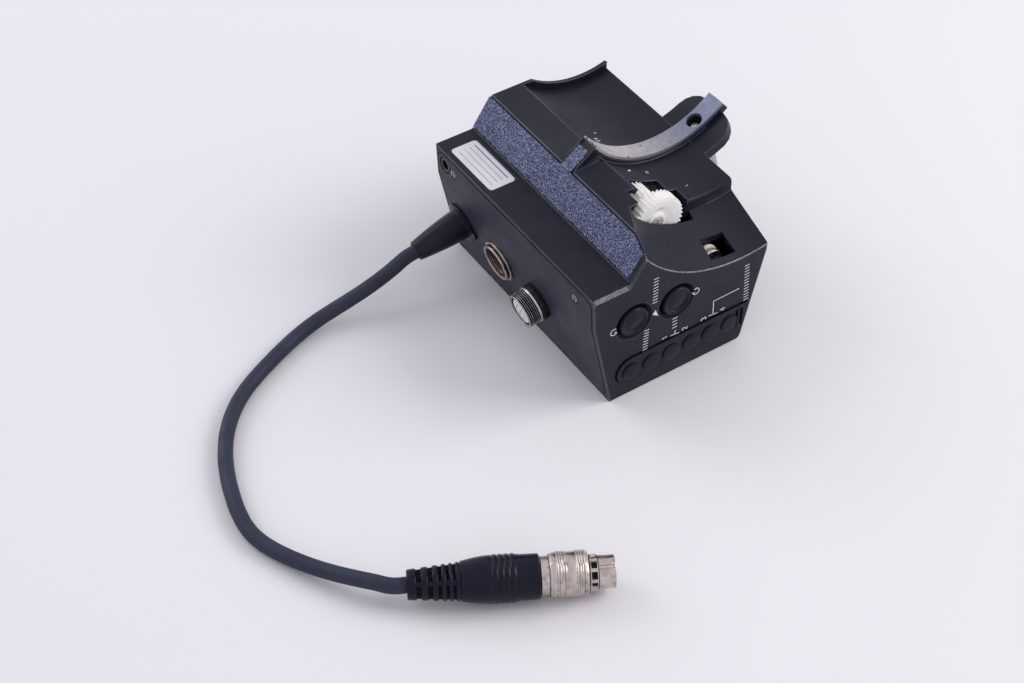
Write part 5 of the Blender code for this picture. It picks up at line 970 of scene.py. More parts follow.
# Painted shade: the panel's rounded edge is near black, standing for shade in its joint with the casting; the
# light worn spots on it are real wear
PANEL_EDGE_SHADE = replace(PANEL, name="panel edge painted shade", colour=(10, 10, 16), tone=(8, 8, 13), worn=0.02,
                     worn_colour=(110, 112, 128), worn_scale=1500.0, specular=0.08)
SPECKLED = Finish("speckled blue band", (36, 41, 70), (29, 34, 60), 0.5, 0.1, grain_scale=4300.0,
                  grain_depth=0.05, sparkle=0.95, sparkle_colour=(172, 182, 226), specular=0.25)
LABEL = Finish("label film", (222, 219, 226), (214, 211, 219), 0.38, 0.1, grain_scale=2200.0,
               grain_depth=0.01)
LABEL_INK = Finish("label ruling", (74, 70, 78), (96, 92, 100), 0.6, 0.1, patch_scale=1500.0,
                   grain_depth=0.005)
# The strip's fade along X is painted light: bright at the left end, darker blue towards the right
STRIP = Finish("satin metal strip", (206, 198, 199), (188, 182, 186), 0.42, 0.14, metallic=0.5,
               patch_scale=300.0, painted_light_fade=(2.0, 38.0), painted_shade_colour=(112, 118, 142), grain_scale=3000.0,
               grain_depth=0.02, scratch=0.3, scratch_colour=(196, 192, 192),
               scratch_stretch=(260.0, 60.0, 260.0), worn=0.1, worn_colour=(104, 102, 108), worn_scale=900.0,
               dust=0.2)
STEEL = Finish("bright steel", (196, 193, 190), (168, 165, 163), 0.3, 0.12, metallic=1.0, patch_scale=500.0,
               grain_scale=3000.0, grain_depth=0.01, scratch=0.12, scratch_colour=(110, 108, 106))
SCREW_STEEL = replace(STEEL, name="dull screw steel", colour=(158, 156, 162), tone=(122, 120, 126),
                      roughness=0.4)
# Painted highlight: the hub screw is lighter and less metallic than the steel, so that it shows a bright glint
HUB_STEEL_GLINT = replace(STEEL, name="hub steel painted glint", colour=(228, 224, 220), tone=(196, 192, 188),
                    metallic=0.6, scratch=0.0)
NICKEL = Finish("worn nickel", (206, 196, 191), (176, 165, 160), 0.3, 0.2, metallic=1.0, patch_scale=420.0,
                grain_scale=2400.0, grain_depth=0.03, scratch=0.5, scratch_colour=(120, 112, 110),
                scratch_stretch=(900.0, 900.0, 160.0), worn=0.1, worn_colour=(140, 131, 128),
                worn_scale=350.0)
# Painted shade: a darker copy of the nickel for the ring socket's grooves and bore and for the recessed side
# socket
SHADED_NICKEL = Finish("nickel groove painted shade", (98, 86, 82), (66, 58, 56), 0.34, 0.15, metallic=1.0,
                     patch_scale=500.0, grain_scale=2400.0, grain_depth=0.02, scratch=0.3,
                     scratch_colour=(60, 54, 52))
CHROME = Finish("polished thread", (196, 191, 191), (168, 164, 166), 0.2, 0.1, metallic=1.0,
                grain_scale=1500.0, grain_depth=0.008)
# Painted shade: a near-black copy of the chrome for the thread's roots and the bore
SHADED_CHROME = Finish("thread root painted shade", (34, 32, 35), (24, 23, 25), 0.24, 0.1, metallic=1.0, grain_scale=1500.0,
                     grain_depth=0.008)
BLACK_METAL = Finish("black oxide", (34, 34, 38), (28, 28, 31), 0.34, 0.1, metallic=0.5, grain_depth=0.012,
                     scratch=0.2)
BRASS = Finish("brass", (190, 158, 98), (160, 128, 76), 0.3, 0.15, metallic=1.0, grain_depth=0.01,
               scratch=0.2, scratch_colour=(110, 88, 50))
RUBBER = Finish("moulded rubber", (14, 19, 38), (11, 15, 31), 0.3, 0.12, grain_scale=1500.0, grain_depth=0.03,
                scratch=0.08, scratch_colour=(60, 63, 78), dust=0.15, specular=0.18)
GLAND_RUBBER = replace(RUBBER, name="black gland rubber", colour=(16, 17, 42), tone=(12, 13, 35),
                       specular=0.24)
JACKET = Finish("cable jacket", (37, 42, 64), (32, 37, 58), 0.6, 0.1, grain_scale=1300.0, grain_depth=0.03,
                scratch=0.12, scratch_colour=(80, 80, 78), dust=0.25, specular=0.4)
NYLON = Finish("white nylon", (252, 251, 249), (248, 245, 240), 0.34, 0.1, patch_scale=300.0,
               grain_scale=1600.0, grain_depth=0.01, soft_light=0.25)
ACETAL = Finish("cream acetal", (216, 208, 188), (204, 194, 172), 0.4, 0.1, grain_depth=0.01)
# Real colour of the dark inserts; also laid as painted shade in the contact wells and the socket hollows
INSERT = Finish("dark insert and painted hollow shade", (30, 29, 33), (22, 21, 25), 0.45, 0.1, grain_depth=0.02)
WHITE_PLASTIC = Finish("white insert", (238, 234, 236), (230, 226, 230), 0.35, 0.1, grain_depth=0.01)
BOARD = Finish("green board", (26, 70, 44), (20, 58, 36), 0.4, 0.1, grain_scale=900.0, grain_depth=0.02)
BOARD_PART = Finish("board part", (38, 38, 42), (30, 30, 33), 0.45, 0.1, grain_depth=0.01)
WHITE_INK = Finish("white ink", (232, 232, 236), (206, 206, 212), 0.6, 0.1, patch_scale=1600.0,
                   grain_depth=0.005)
SCUFF = Finish("light scuff", (92, 92, 104), (70, 70, 80), 0.5, 0.1, patch_scale=2400.0, grain_depth=0.01)

# Finishes of the nodes that stay as the model has them
NODE_FINISHES: dict[str, Finish] = {
    "base_cover": CASTING, **{f"base_screw_{number}": STEEL for number in range(1, 5)},
    "drive_axle": STEEL, "idler_axle": STEEL, "gear_plate": STRIP, "motor_plate": STRIP, "drive_motor": STEEL,
    "position_sensor": BOARD_PART, "main_board": BOARD, "control_board": BOARD, "switch_left": BOARD_PART,
    "switch_right": BOARD_PART, "trimmer_bank": BOARD_PART, "gland_nut": NICKEL, "clutch_shaft": BLACK_METAL,
    "clutch_pinion": BRASS, "clutch_wheel": ACETAL, "motor_pinion": BRASS, "sensor_gear": NYLON,
    "idler_gear": ACETAL, "screw_washer": STEEL,
    **{f"trimmer_rotor_{number}": WHITE_PLASTIC for number in range(1, 7)},
}


# Sub-assemblies

@dataclass
class Assembly:
    """A sub-assembly: makes its pieces, dresses them and fits them to their bodies."""

    effects: Effects

    def fit(self, piece: bpy.types.Object, slot: Slot, finishes: Sequence[Finish], node: str,
            body: Body) -> bpy.types.Object:
        """Gives a piece its finishes and body, and hides the node that it stands for.

        Args:
            piece: The finished object.
            slot: The record's material slot; not used.
            finishes: Finishes in the order of the mesh's material indices.
            node: Node that isn't shown because the piece stands for it, or nothing.
            body: The body that it rides on.

        Returns:
            The same object.
        """
        for finish in finishes:
            piece.data.materials.append(finish.material(self.effects))
        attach(piece, body.value)
        if node:
            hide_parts(node)
        LOG.info("%s rides on %s", piece.name, body.value)
        return piece

    def make(self, name: str, shell: Shell, slot: Slot, *finishes: Finish, node: str = "",
             body: Body = Body.HOUSING, sharp: float = 40.0, kinds: Kinds | None = None) -> bpy.types.Object:
        """Makes a piece of a surface, dressed and fitted; see mesh_piece and fit."""
        return self.fit(mesh_piece(name, shell, sharp, kinds), slot, finishes, node, body)

    def copy(self, name: str, node: str, rounding: Rounding, slot: Slot, *finishes: Finish,
             body: Body = Body.HOUSING, weights: Weights | None = None,
             kinds: Kinds | None = None) -> bpy.types.Object:
        """Makes a rounded copy of a node, dressed and fitted in its place.

        Args:
            name: Name of the new piece.
            node: Node that it copies and stands for.
            rounding: How its edges are rounded.
            slot: The record's material slot.
            *finishes: Finishes in the order of the mesh's material indices.
            body: The body that it rides on.
            weights: Bevel weights of its edges.
            kinds: Finishes of its faces.

        Returns:
            The new object.
        """
        piece = node_copy(name, node, weights, kinds)
        rounding.apply(piece)
        return self.fit(piece, slot, finishes, node, body)


@dataclass
class Camera:
    """The photograph's camera, looking down by pitch and round by yaw, both in degrees."""

    place: Point = (-0.27615, -0.3669, 0.4430)
    pitch: float = 45.62
    yaw: float = 56.55
    lens: float = 66.27
    sensor: float = 36.0
    view_range: Pair = (0.01, 20.0)

    def build(self) -> None:
        """Makes the camera."""
        data = bpy.data.cameras.new("camera")
        data.lens, data.sensor_width = self.lens, self.sensor
        data.clip_start, data.clip_end = self.view_range
        p, y = math.radians(self.pitch), math.radians(self.yaw)
        eye = linked("camera", data)
        aimed(eye, self.place, Vector((math.cos(p) * math.cos(y), math.cos(p) * math.sin(y), -math.sin(p))))
        bpy.context.scene.camera = eye


@dataclass(frozen=True)
class Lamp:
    """A square soft lamp that looks at the object."""

    name: str
    place: Point
    size: float
    power: float
    colour: Point
    target: Point = (-0.03, 0.0, 0.03)

    def build(self) -> None:
        """Makes the lamp."""
        data = bpy.data.lights.new(self.name, "AREA")
        data.size, data.energy, data.color = self.size, self.power, self.colour
        aimed(linked(self.name, data), self.place, Vector(self.target) - Vector(self.place))


@dataclass
class Studio:
    """Pale floor, two soft lamps and a pale world."""

    floor_size: float = 8.0
    floor_colour: Colour = (235, 233, 238)
    world_light: float = 0.66
    world_colour: tuple[float, float, float, float] = (0.95, 0.945, 1.0, 1.0)
    lamps: tuple[Lamp, ...] = (Lamp("key lamp", (0.85, -0.55, 0.8), 0.7, 7.8, (1.0, 0.98, 0.95)),
                               Lamp("fill lamp", (-0.55, 0.95, 0.75), 0.8, 4.3, (0.95, 0.96, 1.0)))

    def build(self) -> None:
        """Makes floor, lamps and world."""
        self.floor()
        for lamp in self.lamps:
            lamp.build()
        self.world()

    def floor(self) -> None:
        """A flat square under the object."""
        half = self.floor_size / 2
        mesh = bpy.data.meshes.new("floor")
        square = [(-half, -half, 0), (half, -half, 0), (half, half, 0), (-half, half, 0)]
        mesh.from_pydata(square, [], [(0, 1, 2, 3)])
        linked("floor", mesh)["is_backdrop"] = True
        mesh.materials.append(principled("pale floor", {
            "Base Color": linear(self.floor_colour), "Roughness": 0.9, "Specular IOR Level": 0.2}))

    def world(self) -> None:
        """Even pale light; the camera and every reflection see the floor's colour instead."""
        world = bpy.context.scene.world or bpy.data.worlds.new("world")
        bpy.context.scene.world = world
        world.use_nodes = True
        world.node_tree.nodes.clear()
        work = Tree(world.node_tree)
        rays = work.add("LightPath")
        seen = work.math("MAXIMUM", rays.outputs["Is Camera Ray"], rays.outputs["Is Glossy Ray"])
        seen = work.math("MAXIMUM", seen, rays.outputs["Is Transmission Ray"])
        light = work.add("Background", {0: self.world_colour, 1: self.world_light})
        sky = work.add("Background", {0: linear(self.floor_colour), 1: 1.0})
        both = work.add("MixShader", {0: seen, 1: light.outputs[0], 2: sky.outputs[0]})
        work.add("OutputWorld", {0: both.outputs[0]})


@dataclass
class Cable(Assembly):
    """The whole cable, from its strain relief to the plug.

    Radius, length and route are in metres, the straight ends and the gap in millimetres.
    """

    radius: float = 0.00245
    length: float = 0.1926
    straight: float = 4.9
    gap: float = -0.8
    smoothing: int = 2
    route: tuple[Point, ...] = (
        (-0.0582, 0.0344, 0.0126), (-0.0627, 0.0346, 0.0106), (-0.0689, 0.0348, 0.0082),
        (-0.0748, 0.0354, 0.0062), (-0.0808, 0.0361, 0.0044), (-0.0875, 0.0361, 0.0032),
        (-0.0953, 0.0343, 0.0026), (-0.1025, 0.0313, 0.0026), (-0.1099, 0.0276, 0.0026),
        (-0.1159, 0.0249, 0.0026), (-0.1212, 0.0221, 0.0026), (-0.1280, 0.0172, 0.0026),
        (-0.1344, 0.0106, 0.0026), (-0.1394, 0.0020, 0.0026), (-0.1429, -0.0062, 0.0026),
        (-0.1458, -0.0161, 0.0026), (-0.1475, -0.0245, 0.0026), (-0.1478, -0.0294, 0.0026),
        (-0.1472, -0.0339, 0.0026), (-0.1456, -0.0388, 0.0026), (-0.1434, -0.0437, 0.0028),
        (-0.1408, -0.0489, 0.0032), (-0.1380, -0.0540, 0.0039), (-0.1350, -0.0591, 0.0047),
        (-0.1313, -0.0646, 0.0058), (-0.1269, -0.0701, 0.0068))

    def centreline(self) -> Array:
        """Middle of the cable: two straight ends and the route between them.

        Returns:
            Its points, in metres.
        """
        tip = np.array(panel_place(GLAND_Y, out=BOOT_LENGTH + self.gap).origin) * MM
        bend = np.array(panel_place(GLAND_Y, out=BOOT_LENGTH + self.gap + self.straight).origin) * MM
        way = unit(np.array(PLUG_END) - np.array(PLUG_START))
        last = (np.array(PLUG_START) - way * self.gap) * MM
        return np.array([tip, bend, *self.route, last - way * self.straight * MM, last])

    def smooth(self, points: Array) -> Array:
        """Moves each middle point between the straight ends to (1/4, 1/2, 1/4) of itself and its neighbours.

        Args:
            points: The points.

        Returns:
            The moved points.
        """
        for _ in range(self.smoothing):
            middle = (points[1:-3] + 2 * points[2:-2] + points[3:-1]) / 4
            points = np.concatenate([points[:2], middle, points[-2:]])
        return points

    def build(self) -> bpy.types.Object:
        """Makes the cable a curve through its points, round in section.

        Returns:
            The cable.
        """
        points = self.smooth(self.centreline())
        data = bpy.data.curves.new("cable_jacket", "CURVE")
        data.dimensions = "3D"
        data.bevel_depth = self.radius
        data.bevel_resolution = 6
        data.resolution_u = 8
        data.use_fill_caps = True
        line = data.splines.new("BEZIER")
        line.bezier_points.add(len(points) - 1)
        line.bezier_points.foreach_set("co", points.ravel())
        for knot in line.bezier_points:
            knot.handle_left_type = knot.handle_right_type = "AUTO"
        return self.fit(linked("cable_jacket", data), Slot.CABLE, [JACKET], "cable", Body.HOUSING)

    def declare(self, cable: bpy.types.Object, pieces: Sequence[bpy.types.Object]) -> None:
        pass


@dataclass
class Housing(Assembly):
    """The main casting with its edges, worn and painted with highlights, the connector panel, band, label and
    strip.
    """

    edge: float = 1.3
    fine_edge: float = 0.26
    top_edge: float = 0.5
    wall_edge: float = 0.65
    shoulder_end: float = -19.0
    rib_side: Pair = (70.0, 34.2)
    band_foot: Pair = (-18.85, 48.2)
    band_top: Pair = (-11.0, 59.0)
    strip_end: float = -142.2
    ruling_margin: float = 2.2
    ruling: tuple[Pair, ...] = ((0.2, 0.14), (0.42, 0.14), (0.62, 0.14), (0.82, 0.34))
    beads: tuple[tuple[float, float, Pair, float], ...] = (
        (35.95, -2.5, (-139.0, -62.0), 0.16), (40.42, STEP_Y - 0.1, (-89.5, -75.2), 0.16),
        (33.62, 43.62, (-127.0, -72.0), 0.12))

    def edge_weights(self, middles: Array, angles: Array) -> Array:
        """Share of the widest rounding that each edge gets: full on the front shoulder, less elsewhere.

        Only outer edges on the outside of the casting are rounded.

        Args:
            middles: Middle points of the edges.
            angles: Signed angles of the edges in degrees, positive on an outer edge.

        Returns:
            The shares, 0 to 1.
        """
        x, y, z = middles.T
        reach = np.hypot(x - SADDLE_X, z - SADDLE_Z)
        half = np.interp(z, [0.0, KNEE_HEIGHT, SHOULDER_HEIGHT, self.rib_side[0]],
                         [HALF_BASE, side_x(KNEE_HEIGHT), side_x(SHOULDER_HEIGHT), self.rib_side[1]])
        on_end, on_front = np.abs(y) > REAR_Y - CLOSE, y < FRONT_Y + CLOSE
        on_side, on_top = np.abs(x) > half - CLOSE, z > SHOULDER_HEIGHT - CLOSE
        at_shoulder = np.abs(z - SHOULDER_HEIGHT) < CLOSE
        at_saddle = (reach < SADDLE_RADIUS + CLOSE) | (on_front & (reach < CONE_FRONT_RADIUS + 2 * CLOSE))
        weight = np.zeros(len(x))
        for width, chosen in ((self.fine_edge, on_end | on_side | on_top | at_saddle),
                              (self.top_edge, on_end & on_top & ~at_saddle),
                              (self.top_edge, on_side & at_shoulder & (x < 0.0)),
                              (self.wall_edge, on_end & ~at_saddle & (on_side | (z < CLOSE))),
                              (self.edge, on_front & at_shoulder & (x < self.shoulder_end))):
            weight = np.where((angles > EDGE_ANGLE) & chosen, width / self.edge, weight)
        return weight

    def strip_kinds(self, middles: Array) -> Array:
        """1 on the strip's worn end, 0 elsewhere."""
        return np.degrees(np.arctan2(middles[:, 2] - SADDLE_Z, middles[:, 0] - SADDLE_X)) < self.strip_end

    def bead(self, radius: float, y: float, angles: Pair, thickness: float) -> Shell:
        """Thin rod that fills a corner round the saddle's axis.

        P(a, t) = axis + (R + r cos t) (cos a, 0, sin a) + (0, y + r sin t, 0).

        Args:
            radius: Distance R from the axis.
            y: Place along the axis.
            angles: First and last angle a in degrees.
            thickness: Radius r of the rod.

        Returns:
            The closed surface.
        """
        a = np.radians(np.linspace(*angles, 40))[:, None]
        t = (np.arange(8) * TURN / 8)[None, :]
        reach = radius + thickness * np.cos(t) + 0.0 * a
        grid = np.stack([SADDLE_X + reach * np.cos(a), y + thickness * np.sin(t) + 0.0 * a,
                         SADDLE_Z + reach * np.sin(a)], axis=-1)
        return skin(grid, grid[[0, -1]].mean(axis=1))

    def saddle_marks(self) -> Shell:
        """Small white index marks on the saddle: a bar, the four sides of a square, a ring, and two ticks.

        Returns:
            The marks' surfaces.
        """
        square = (12.1, -116.6, 0.3)
        marks = (((-6.3, -117.8, 0.6), [(-0.7, -0.2), (0.7, 0.2)]),
                 (square, [(-0.7, -0.8), (0.7, -0.8)]), (square, [(-0.7, 0.8), (0.7, 0.8)]),
                 (square, [(-0.7, -0.9), (-0.7, 0.9)]), (square, [(0.7, -0.9), (0.7, 0.9)]),
                 ((-7.8, -107.1, 0.2), arc(0.5, 0, 300)),
                 ((16.1, -113.0, 0.3), [(-0.5, 0.0), (0.5, 0.25)]),
                 ((-18.7, -94.5, 0.16), [(-0.55, 0.0), (0.5, 0.3)]))
        return joined(inked(points, width, saddle_place(y, degrees)) for (y, degrees, width), points in marks)

    def nicks(self) -> Shell:
        """Dark nicks in the front edge of the strip and the lower edge of the band, drawn as thin marks in the
        painted recess-shade finish.

        Returns:
            The nicks' surfaces.
        """
        chip = np.array([(-0.55, -0.3), (0.5, -0.35), (0.35, 0.25), (-0.3, 0.35)])
        slope = unit(np.array(self.band_top) - np.array(self.band_foot))
        band = Place((self.band_foot[0] + 0.5 * slope[0], 2.0, self.band_foot[1] + 0.5 * slope[1]),
                     (-slope[1], 0.0, slope[0]))
        return (prism(chip, -INK, INK, saddle_place(-1.9, -114.7, BARREL_RADIUS))
                + prism(circle(0.55, 12), 0.0, 0.32, band))

    def ruled_lines(self) -> Shell:
        """Bare form on the label: plain lines along its length, at shares of its width.

        Returns:
            The lines' surfaces.
        """
        (left, front, _), (right, rear, top) = (np.array(corner[:]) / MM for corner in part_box("label_plate"))
        place = Place((0.0, 0.0, top), (0.0, 0.0, 1.0), (1.0, 0.0, 0.0))
        front, rear = front + self.ruling_margin, rear - self.ruling_margin
        ways = ((left + (right - left) * share, width) for share, width in self.ruling)
        return joined(inked([(x, front), (x, rear)], width, place, low=0.0) for x, width in ways)

    def build(self) -> None:
        """Makes the casting and the plates let into it."""
        # Edge finish 1 paints highlights and wear on the rounded edges
        casting = self.copy("casting", "main_housing", Rounding(self.edge, 3, by_weight=True, edge_finish=1),
                            Slot.CASTING, CASTING, CASTING_EDGE_WEAR_AND_HIGHLIGHT, weights=self.edge_weights)
        settle(casting)
        saddle_normals(casting.data)
        # Real fillets in the saddle's corners, coloured as painted highlight lines
        beads = joined(self.bead(*bead) for bead in self.beads)
        self.make("saddle_fillet_highlights", beads, Slot.CASTING, FILLET_HIGHLIGHT, sharp=60.0)
        self.make("saddle_marks", self.saddle_marks(), Slot.LABEL, WHITE_INK)
        self.make("edge_nicks", self.nicks(), Slot.INSERT, RECESS_SHADE)
        self.copy("panel_plate", "connector_panel", Rounding(0.2, edge_finish=1), Slot.PANEL, PANEL,
                  PANEL_EDGE_SHADE)
        self.copy("speckled_band", "deco_band", Rounding(0.08), Slot.BAND, SPECKLED)
        self.copy("label_film", "label_plate", Rounding(0.08), Slot.LABEL, LABEL)
        self.make("label_ruling", self.ruled_lines(), Slot.LABEL, LABEL_INK)
        strip = self.copy("saddle_metal", "saddle_strip", Rounding(0.12), Slot.STRIP, STRIP, STRIP_END,
                          kinds=self.strip_kinds)
        settle(strip)
        saddle_normals(strip.data)


@dataclass
class DriveTrain(Assembly):
    """The white drive gear, its screw, and the clutch rings in the square window."""

    clutch_x: float = 16.05
    clutch_z: float = 35.3
    ring_radius: float = 4.0
    ring_width: float = 1.5
    ring_bore: float = 1.8
    ring_chamfer: float = 0.2

    def ring(self, node: str) -> Shell:
        """Flat ring with chamfered rims, in the middle of its node.

        Args:
            node: The ring's node.

        Returns:
            The closed surface.
        """
        low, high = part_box(node)
        middle = (self.clutch_x, (low[1] + high[1]) / 2 / MM, self.clutch_z)
        place = Place(middle, (0.0, -1.0, 0.0), (1.0, 0.0, 0.0))
        rim, half = self.ring_radius, self.ring_width / 2
        profile = [(self.ring_bore, -half), (rim - self.ring_chamfer, -half), (rim, -half / 2),
                   (rim, half / 2), (rim - self.ring_chamfer, half), (self.ring_bore, half)]
        return turned(soften(profile, 0.3), place)

    def build(self) -> None:
        """Makes the gear, screw and rings."""
        self.copy("drive_wheel", "drive_gear", Rounding(0.12), Slot.NYLON, NYLON, body=Body.DRIVE)
        self.copy("gear_screw", "drive_gear_screw", Rounding(0.1), Slot.STEEL, HUB_STEEL_GLINT)
        for name, node, finish, slot in (("ring_cream", "clutch_ring_cream", ACETAL, Slot.CREAM),
                                         ("ring_silver", "clutch_ring_silver", STEEL, Slot.STEEL)):
            self.make(name, self.ring(node), slot, finish, node=node, body=Body.CLUTCH)


@dataclass
class ClampScrew(Assembly):
    """Knurled thumb screw under the tongue; shank, collar and head are (radius, start) along its axis."""

    hole_angle: float = -64.5
    lean: float = -76.2
    shank: Pair = (2.3, 2.4)
    collar: Pair = (3.7, 11.4)
    head: Pair = (5.1, 13.2)
    head_length: float = 9.4
    knurls: int = 18
    knurl_depth: float = 0.42
    knurl_margin: float = 0.8

    def relief(self, angle: Array, height: Array, radius: Array) -> Array:
        """Scallops round the head: depth times the cosine wave of the knurls to the power 0.7.

        Args:
            angle: Angle round the axis.
            height: Height along the axis.
            radius: Radius before the change.

        Returns:
            The change of radius.
        """
        low, high = self.head[1] + self.knurl_margin, self.head[1] + self.head_length - self.knurl_margin
        wave = 0.5 - 0.5 * np.cos(self.knurls * angle)
        return -self.knurl_depth * wave ** 0.7 * window(height, low, high) * (radius > self.head[0] - 0.6)

    def build(self) -> None:
        """Makes the screw along its axis."""
        turn, lean = math.radians(self.hole_angle), math.radians(self.lean)
        origin = (SADDLE_X + BARREL_RADIUS * math.cos(turn), RIB_Y, SADDLE_Z + BARREL_RADIUS * math.sin(turn))
        place = Place(origin, (math.cos(lean), 0.0, math.sin(lean)))
        (shank, start), (collar, step), (head, face) = self.shank, self.collar, self.head
        end = face + self.head_length
        profile = [(0, start), (shank - 0.9, start), (shank - 0.9, start + 0.5), (shank, start + 1.0),
                   (shank, step), (collar, step), (collar, face), (head - 0.5, face), (head, face + 0.5),
                   (head, face + 0.75), (head, face + 0.85), (head, (face + end) / 2), (head, end - 0.85),
                   (head, end - 0.75), (head, end - 0.5), (head - 0.6, end), (head - 2.0, end),
                   (head - 2.3, end - 0.4), (0, end - 0.4)]
        self.make("thumb_screw", turned(soften(profile, 0.15, 3), place, 144, self.relief), Slot.STEEL, STEEL,
                  node="clamp_screw", body=Body.CLAMP, sharp=50.0)


# Strokes of plain figures in a box one high and 0.6 wide round the origin
FIGURES: dict[int, list[list[Pair]]] = {
    1: [[(-0.12, 0.3), (0.08, 0.5), (0.08, -0.5)]],
    2: [[(-0.25, 0.3), (-0.12, 0.5), (0.12, 0.5), (0.26, 0.3), (0.2, 0.05), (-0.28, -0.47), (0.3, -0.47)]],
    3: [[(-0.25, 0.38), (-0.1, 0.5), (0.12, 0.5), (0.25, 0.3), (0.05, 0.04), (0.27, -0.22), (0.12, -0.5),
         (-0.1, -0.5), (-0.26, -0.36)]],
    4: [[(0.14, -0.5), (0.14, 0.5), (-0.3, -0.2), (0.32, -0.2)]],
}


@dataclass
class Controls(Assembly):
    """Buttons, the rubber cover over the trimmers and the printed marks round them."""

    button_x: Pair = (-18.45, -1.95)
    button_z: float = 32.2
    button_radius: float = 5.6
    flange_radius: float = 6.9
    flange_depth: Pair = (2.7, 3.5)
    stub: Pair = (1.6, 4.1)
    ink_width: float = 0.28
    figure_height: float = 1.9

    def button(self, x: float) -> Shell:
        """One cap: a rounded rim round a shallow dish with a soft middle, a flange and a stub behind.

        Args:
            x: Place along the front wall.

        Returns:
            The closed surface.
        """
        (front, back), (stub, end) = self.flange_depth, self.stub
        profile = [(0, 0.5), (1.4, 0.44), (2.6, 0.28), (3.4, 0.1), (3.75, 0.06), (4.1, 0.34), (4.5, 0.66),
                   (4.85, 0.7), (5.2, 0.45), (5.42, -0.1), (self.button_radius - 0.1, -0.7),
                   (self.button_radius, -front), (self.flange_radius, -front), (self.flange_radius, -back),
                   (stub, -back), (stub, -end), (0, -end)]
        return turned(soften(profile, 0.25, 3), front_place(x, self.button_z), 72)

    def well_shade(self, x: float) -> Shell:
        """Painted shade: near-black skin laid over the dished recess round a button."""
        profile = [(7.05, -0.02), (5.95, -0.76), (5.95, -1.6), (5.9, -1.6), (5.9, -0.68), (6.95, 0.02)]
        return turned(profile, front_place(x, self.button_z), 72)

    def row(self, start: Pair, end: Pair, count: int) -> Array:
        """Scale of short strokes across a line, half a height to both sides of start + s (end - start).

        Args:
            start: First point of the line.
            end: Last point.
            count: Count of strokes.

        Returns:
            Both ends of each stroke.
        """
        way = np.array(end) - np.array(start)
        side = np.array([-way[1], way[0]]) / np.linalg.norm(way) * self.figure_height / 2
        middles = np.array(start) + way * np.linspace(0.0, 1.0, count)[:, None]
        return np.stack([middles - side, middles + side], axis=1)

    def figure(self, digit: int, place: Pair) -> list[Array]:
        """Strokes of a plain figure that is read with its top to the left, as the wall's other marks are."""
        return [np.array([(-b, a) for a, b in line]) * self.figure_height + np.array(place)
                for line in FIGURES[digit]]

    def marks(self) -> Shell:
        """Ink on the front wall: a triangle, two turn arrows, bracket lines, figures and plain scales.

        Returns:
            The marks' surfaces.
        """
        place = front_place(0.0, 0.0)
        triangle = np.array([(-11.28, 31.17), (-9.02, 29.58), (-10.15, 32.64)])
        lines = [
            [(-3.3, 17.4), (0.15, 17.1)], [(-1.65, 17.25), (-1.6, 19.1)],
            [(11.8, 18.0), (15.4, 17.6)], [(13.56, 17.7), (13.3, 23.8), (23.6, 24.0)],
            arc(1.25, 50, 335, (-26.0, 31.6)), [(-25.9, 31.0), (-25.3, 31.4), (-24.75, 30.7)],
            arc(1.25, -155, 130, (5.5, 32.4)), [(4.0, 32.5), (4.5, 31.9), (5.1, 32.3)],
            *self.row((-10.75, 46.4), (-10.65, 36.2), 9), *self.row((-13.15, 25.4), (-13.35, 17.0), 8),
            *self.row((-2.1, 24.7), (-2.0, 20.6), 4), *self.row((25.9, 33.0), (27.0, 17.4), 13),
            *self.figure(1, (-5.7, 17.8)), *self.figure(2, (2.3, 17.7)), *self.figure(3, (9.8, 17.8)),
            *self.figure(4, (17.4, 18.1)),
        ]
        strokes = joined(inked(line, self.ink_width, place) for line in lines)
        return prism(triangle, -INK, INK, place) + strokes

    def build(self) -> None:
        """Makes the buttons, the cover and the marks."""
        left, right = self.button_x
        self.make("cap_left", self.button(left), Slot.RUBBER, RUBBER, node="button_left",
                  body=Body.LEFT_BUTTON, sharp=60.0)
        self.make("cap_right", self.button(right), Slot.RUBBER, RUBBER, node="button_right",
                  body=Body.RIGHT_BUTTON, sharp=60.0)
        # Painted shade over the recesses round the buttons
        self.make("button_well_shade", self.well_shade(left) + self.well_shade(right), Slot.CASTING, RECESS_SHADE)
        self.copy("trimmer_sheet", "trimmer_cover", Rounding(0.18), Slot.RUBBER, RUBBER, body=Body.COVER)
        self.make("wall_marks", self.marks(), Slot.LABEL, WHITE_INK)


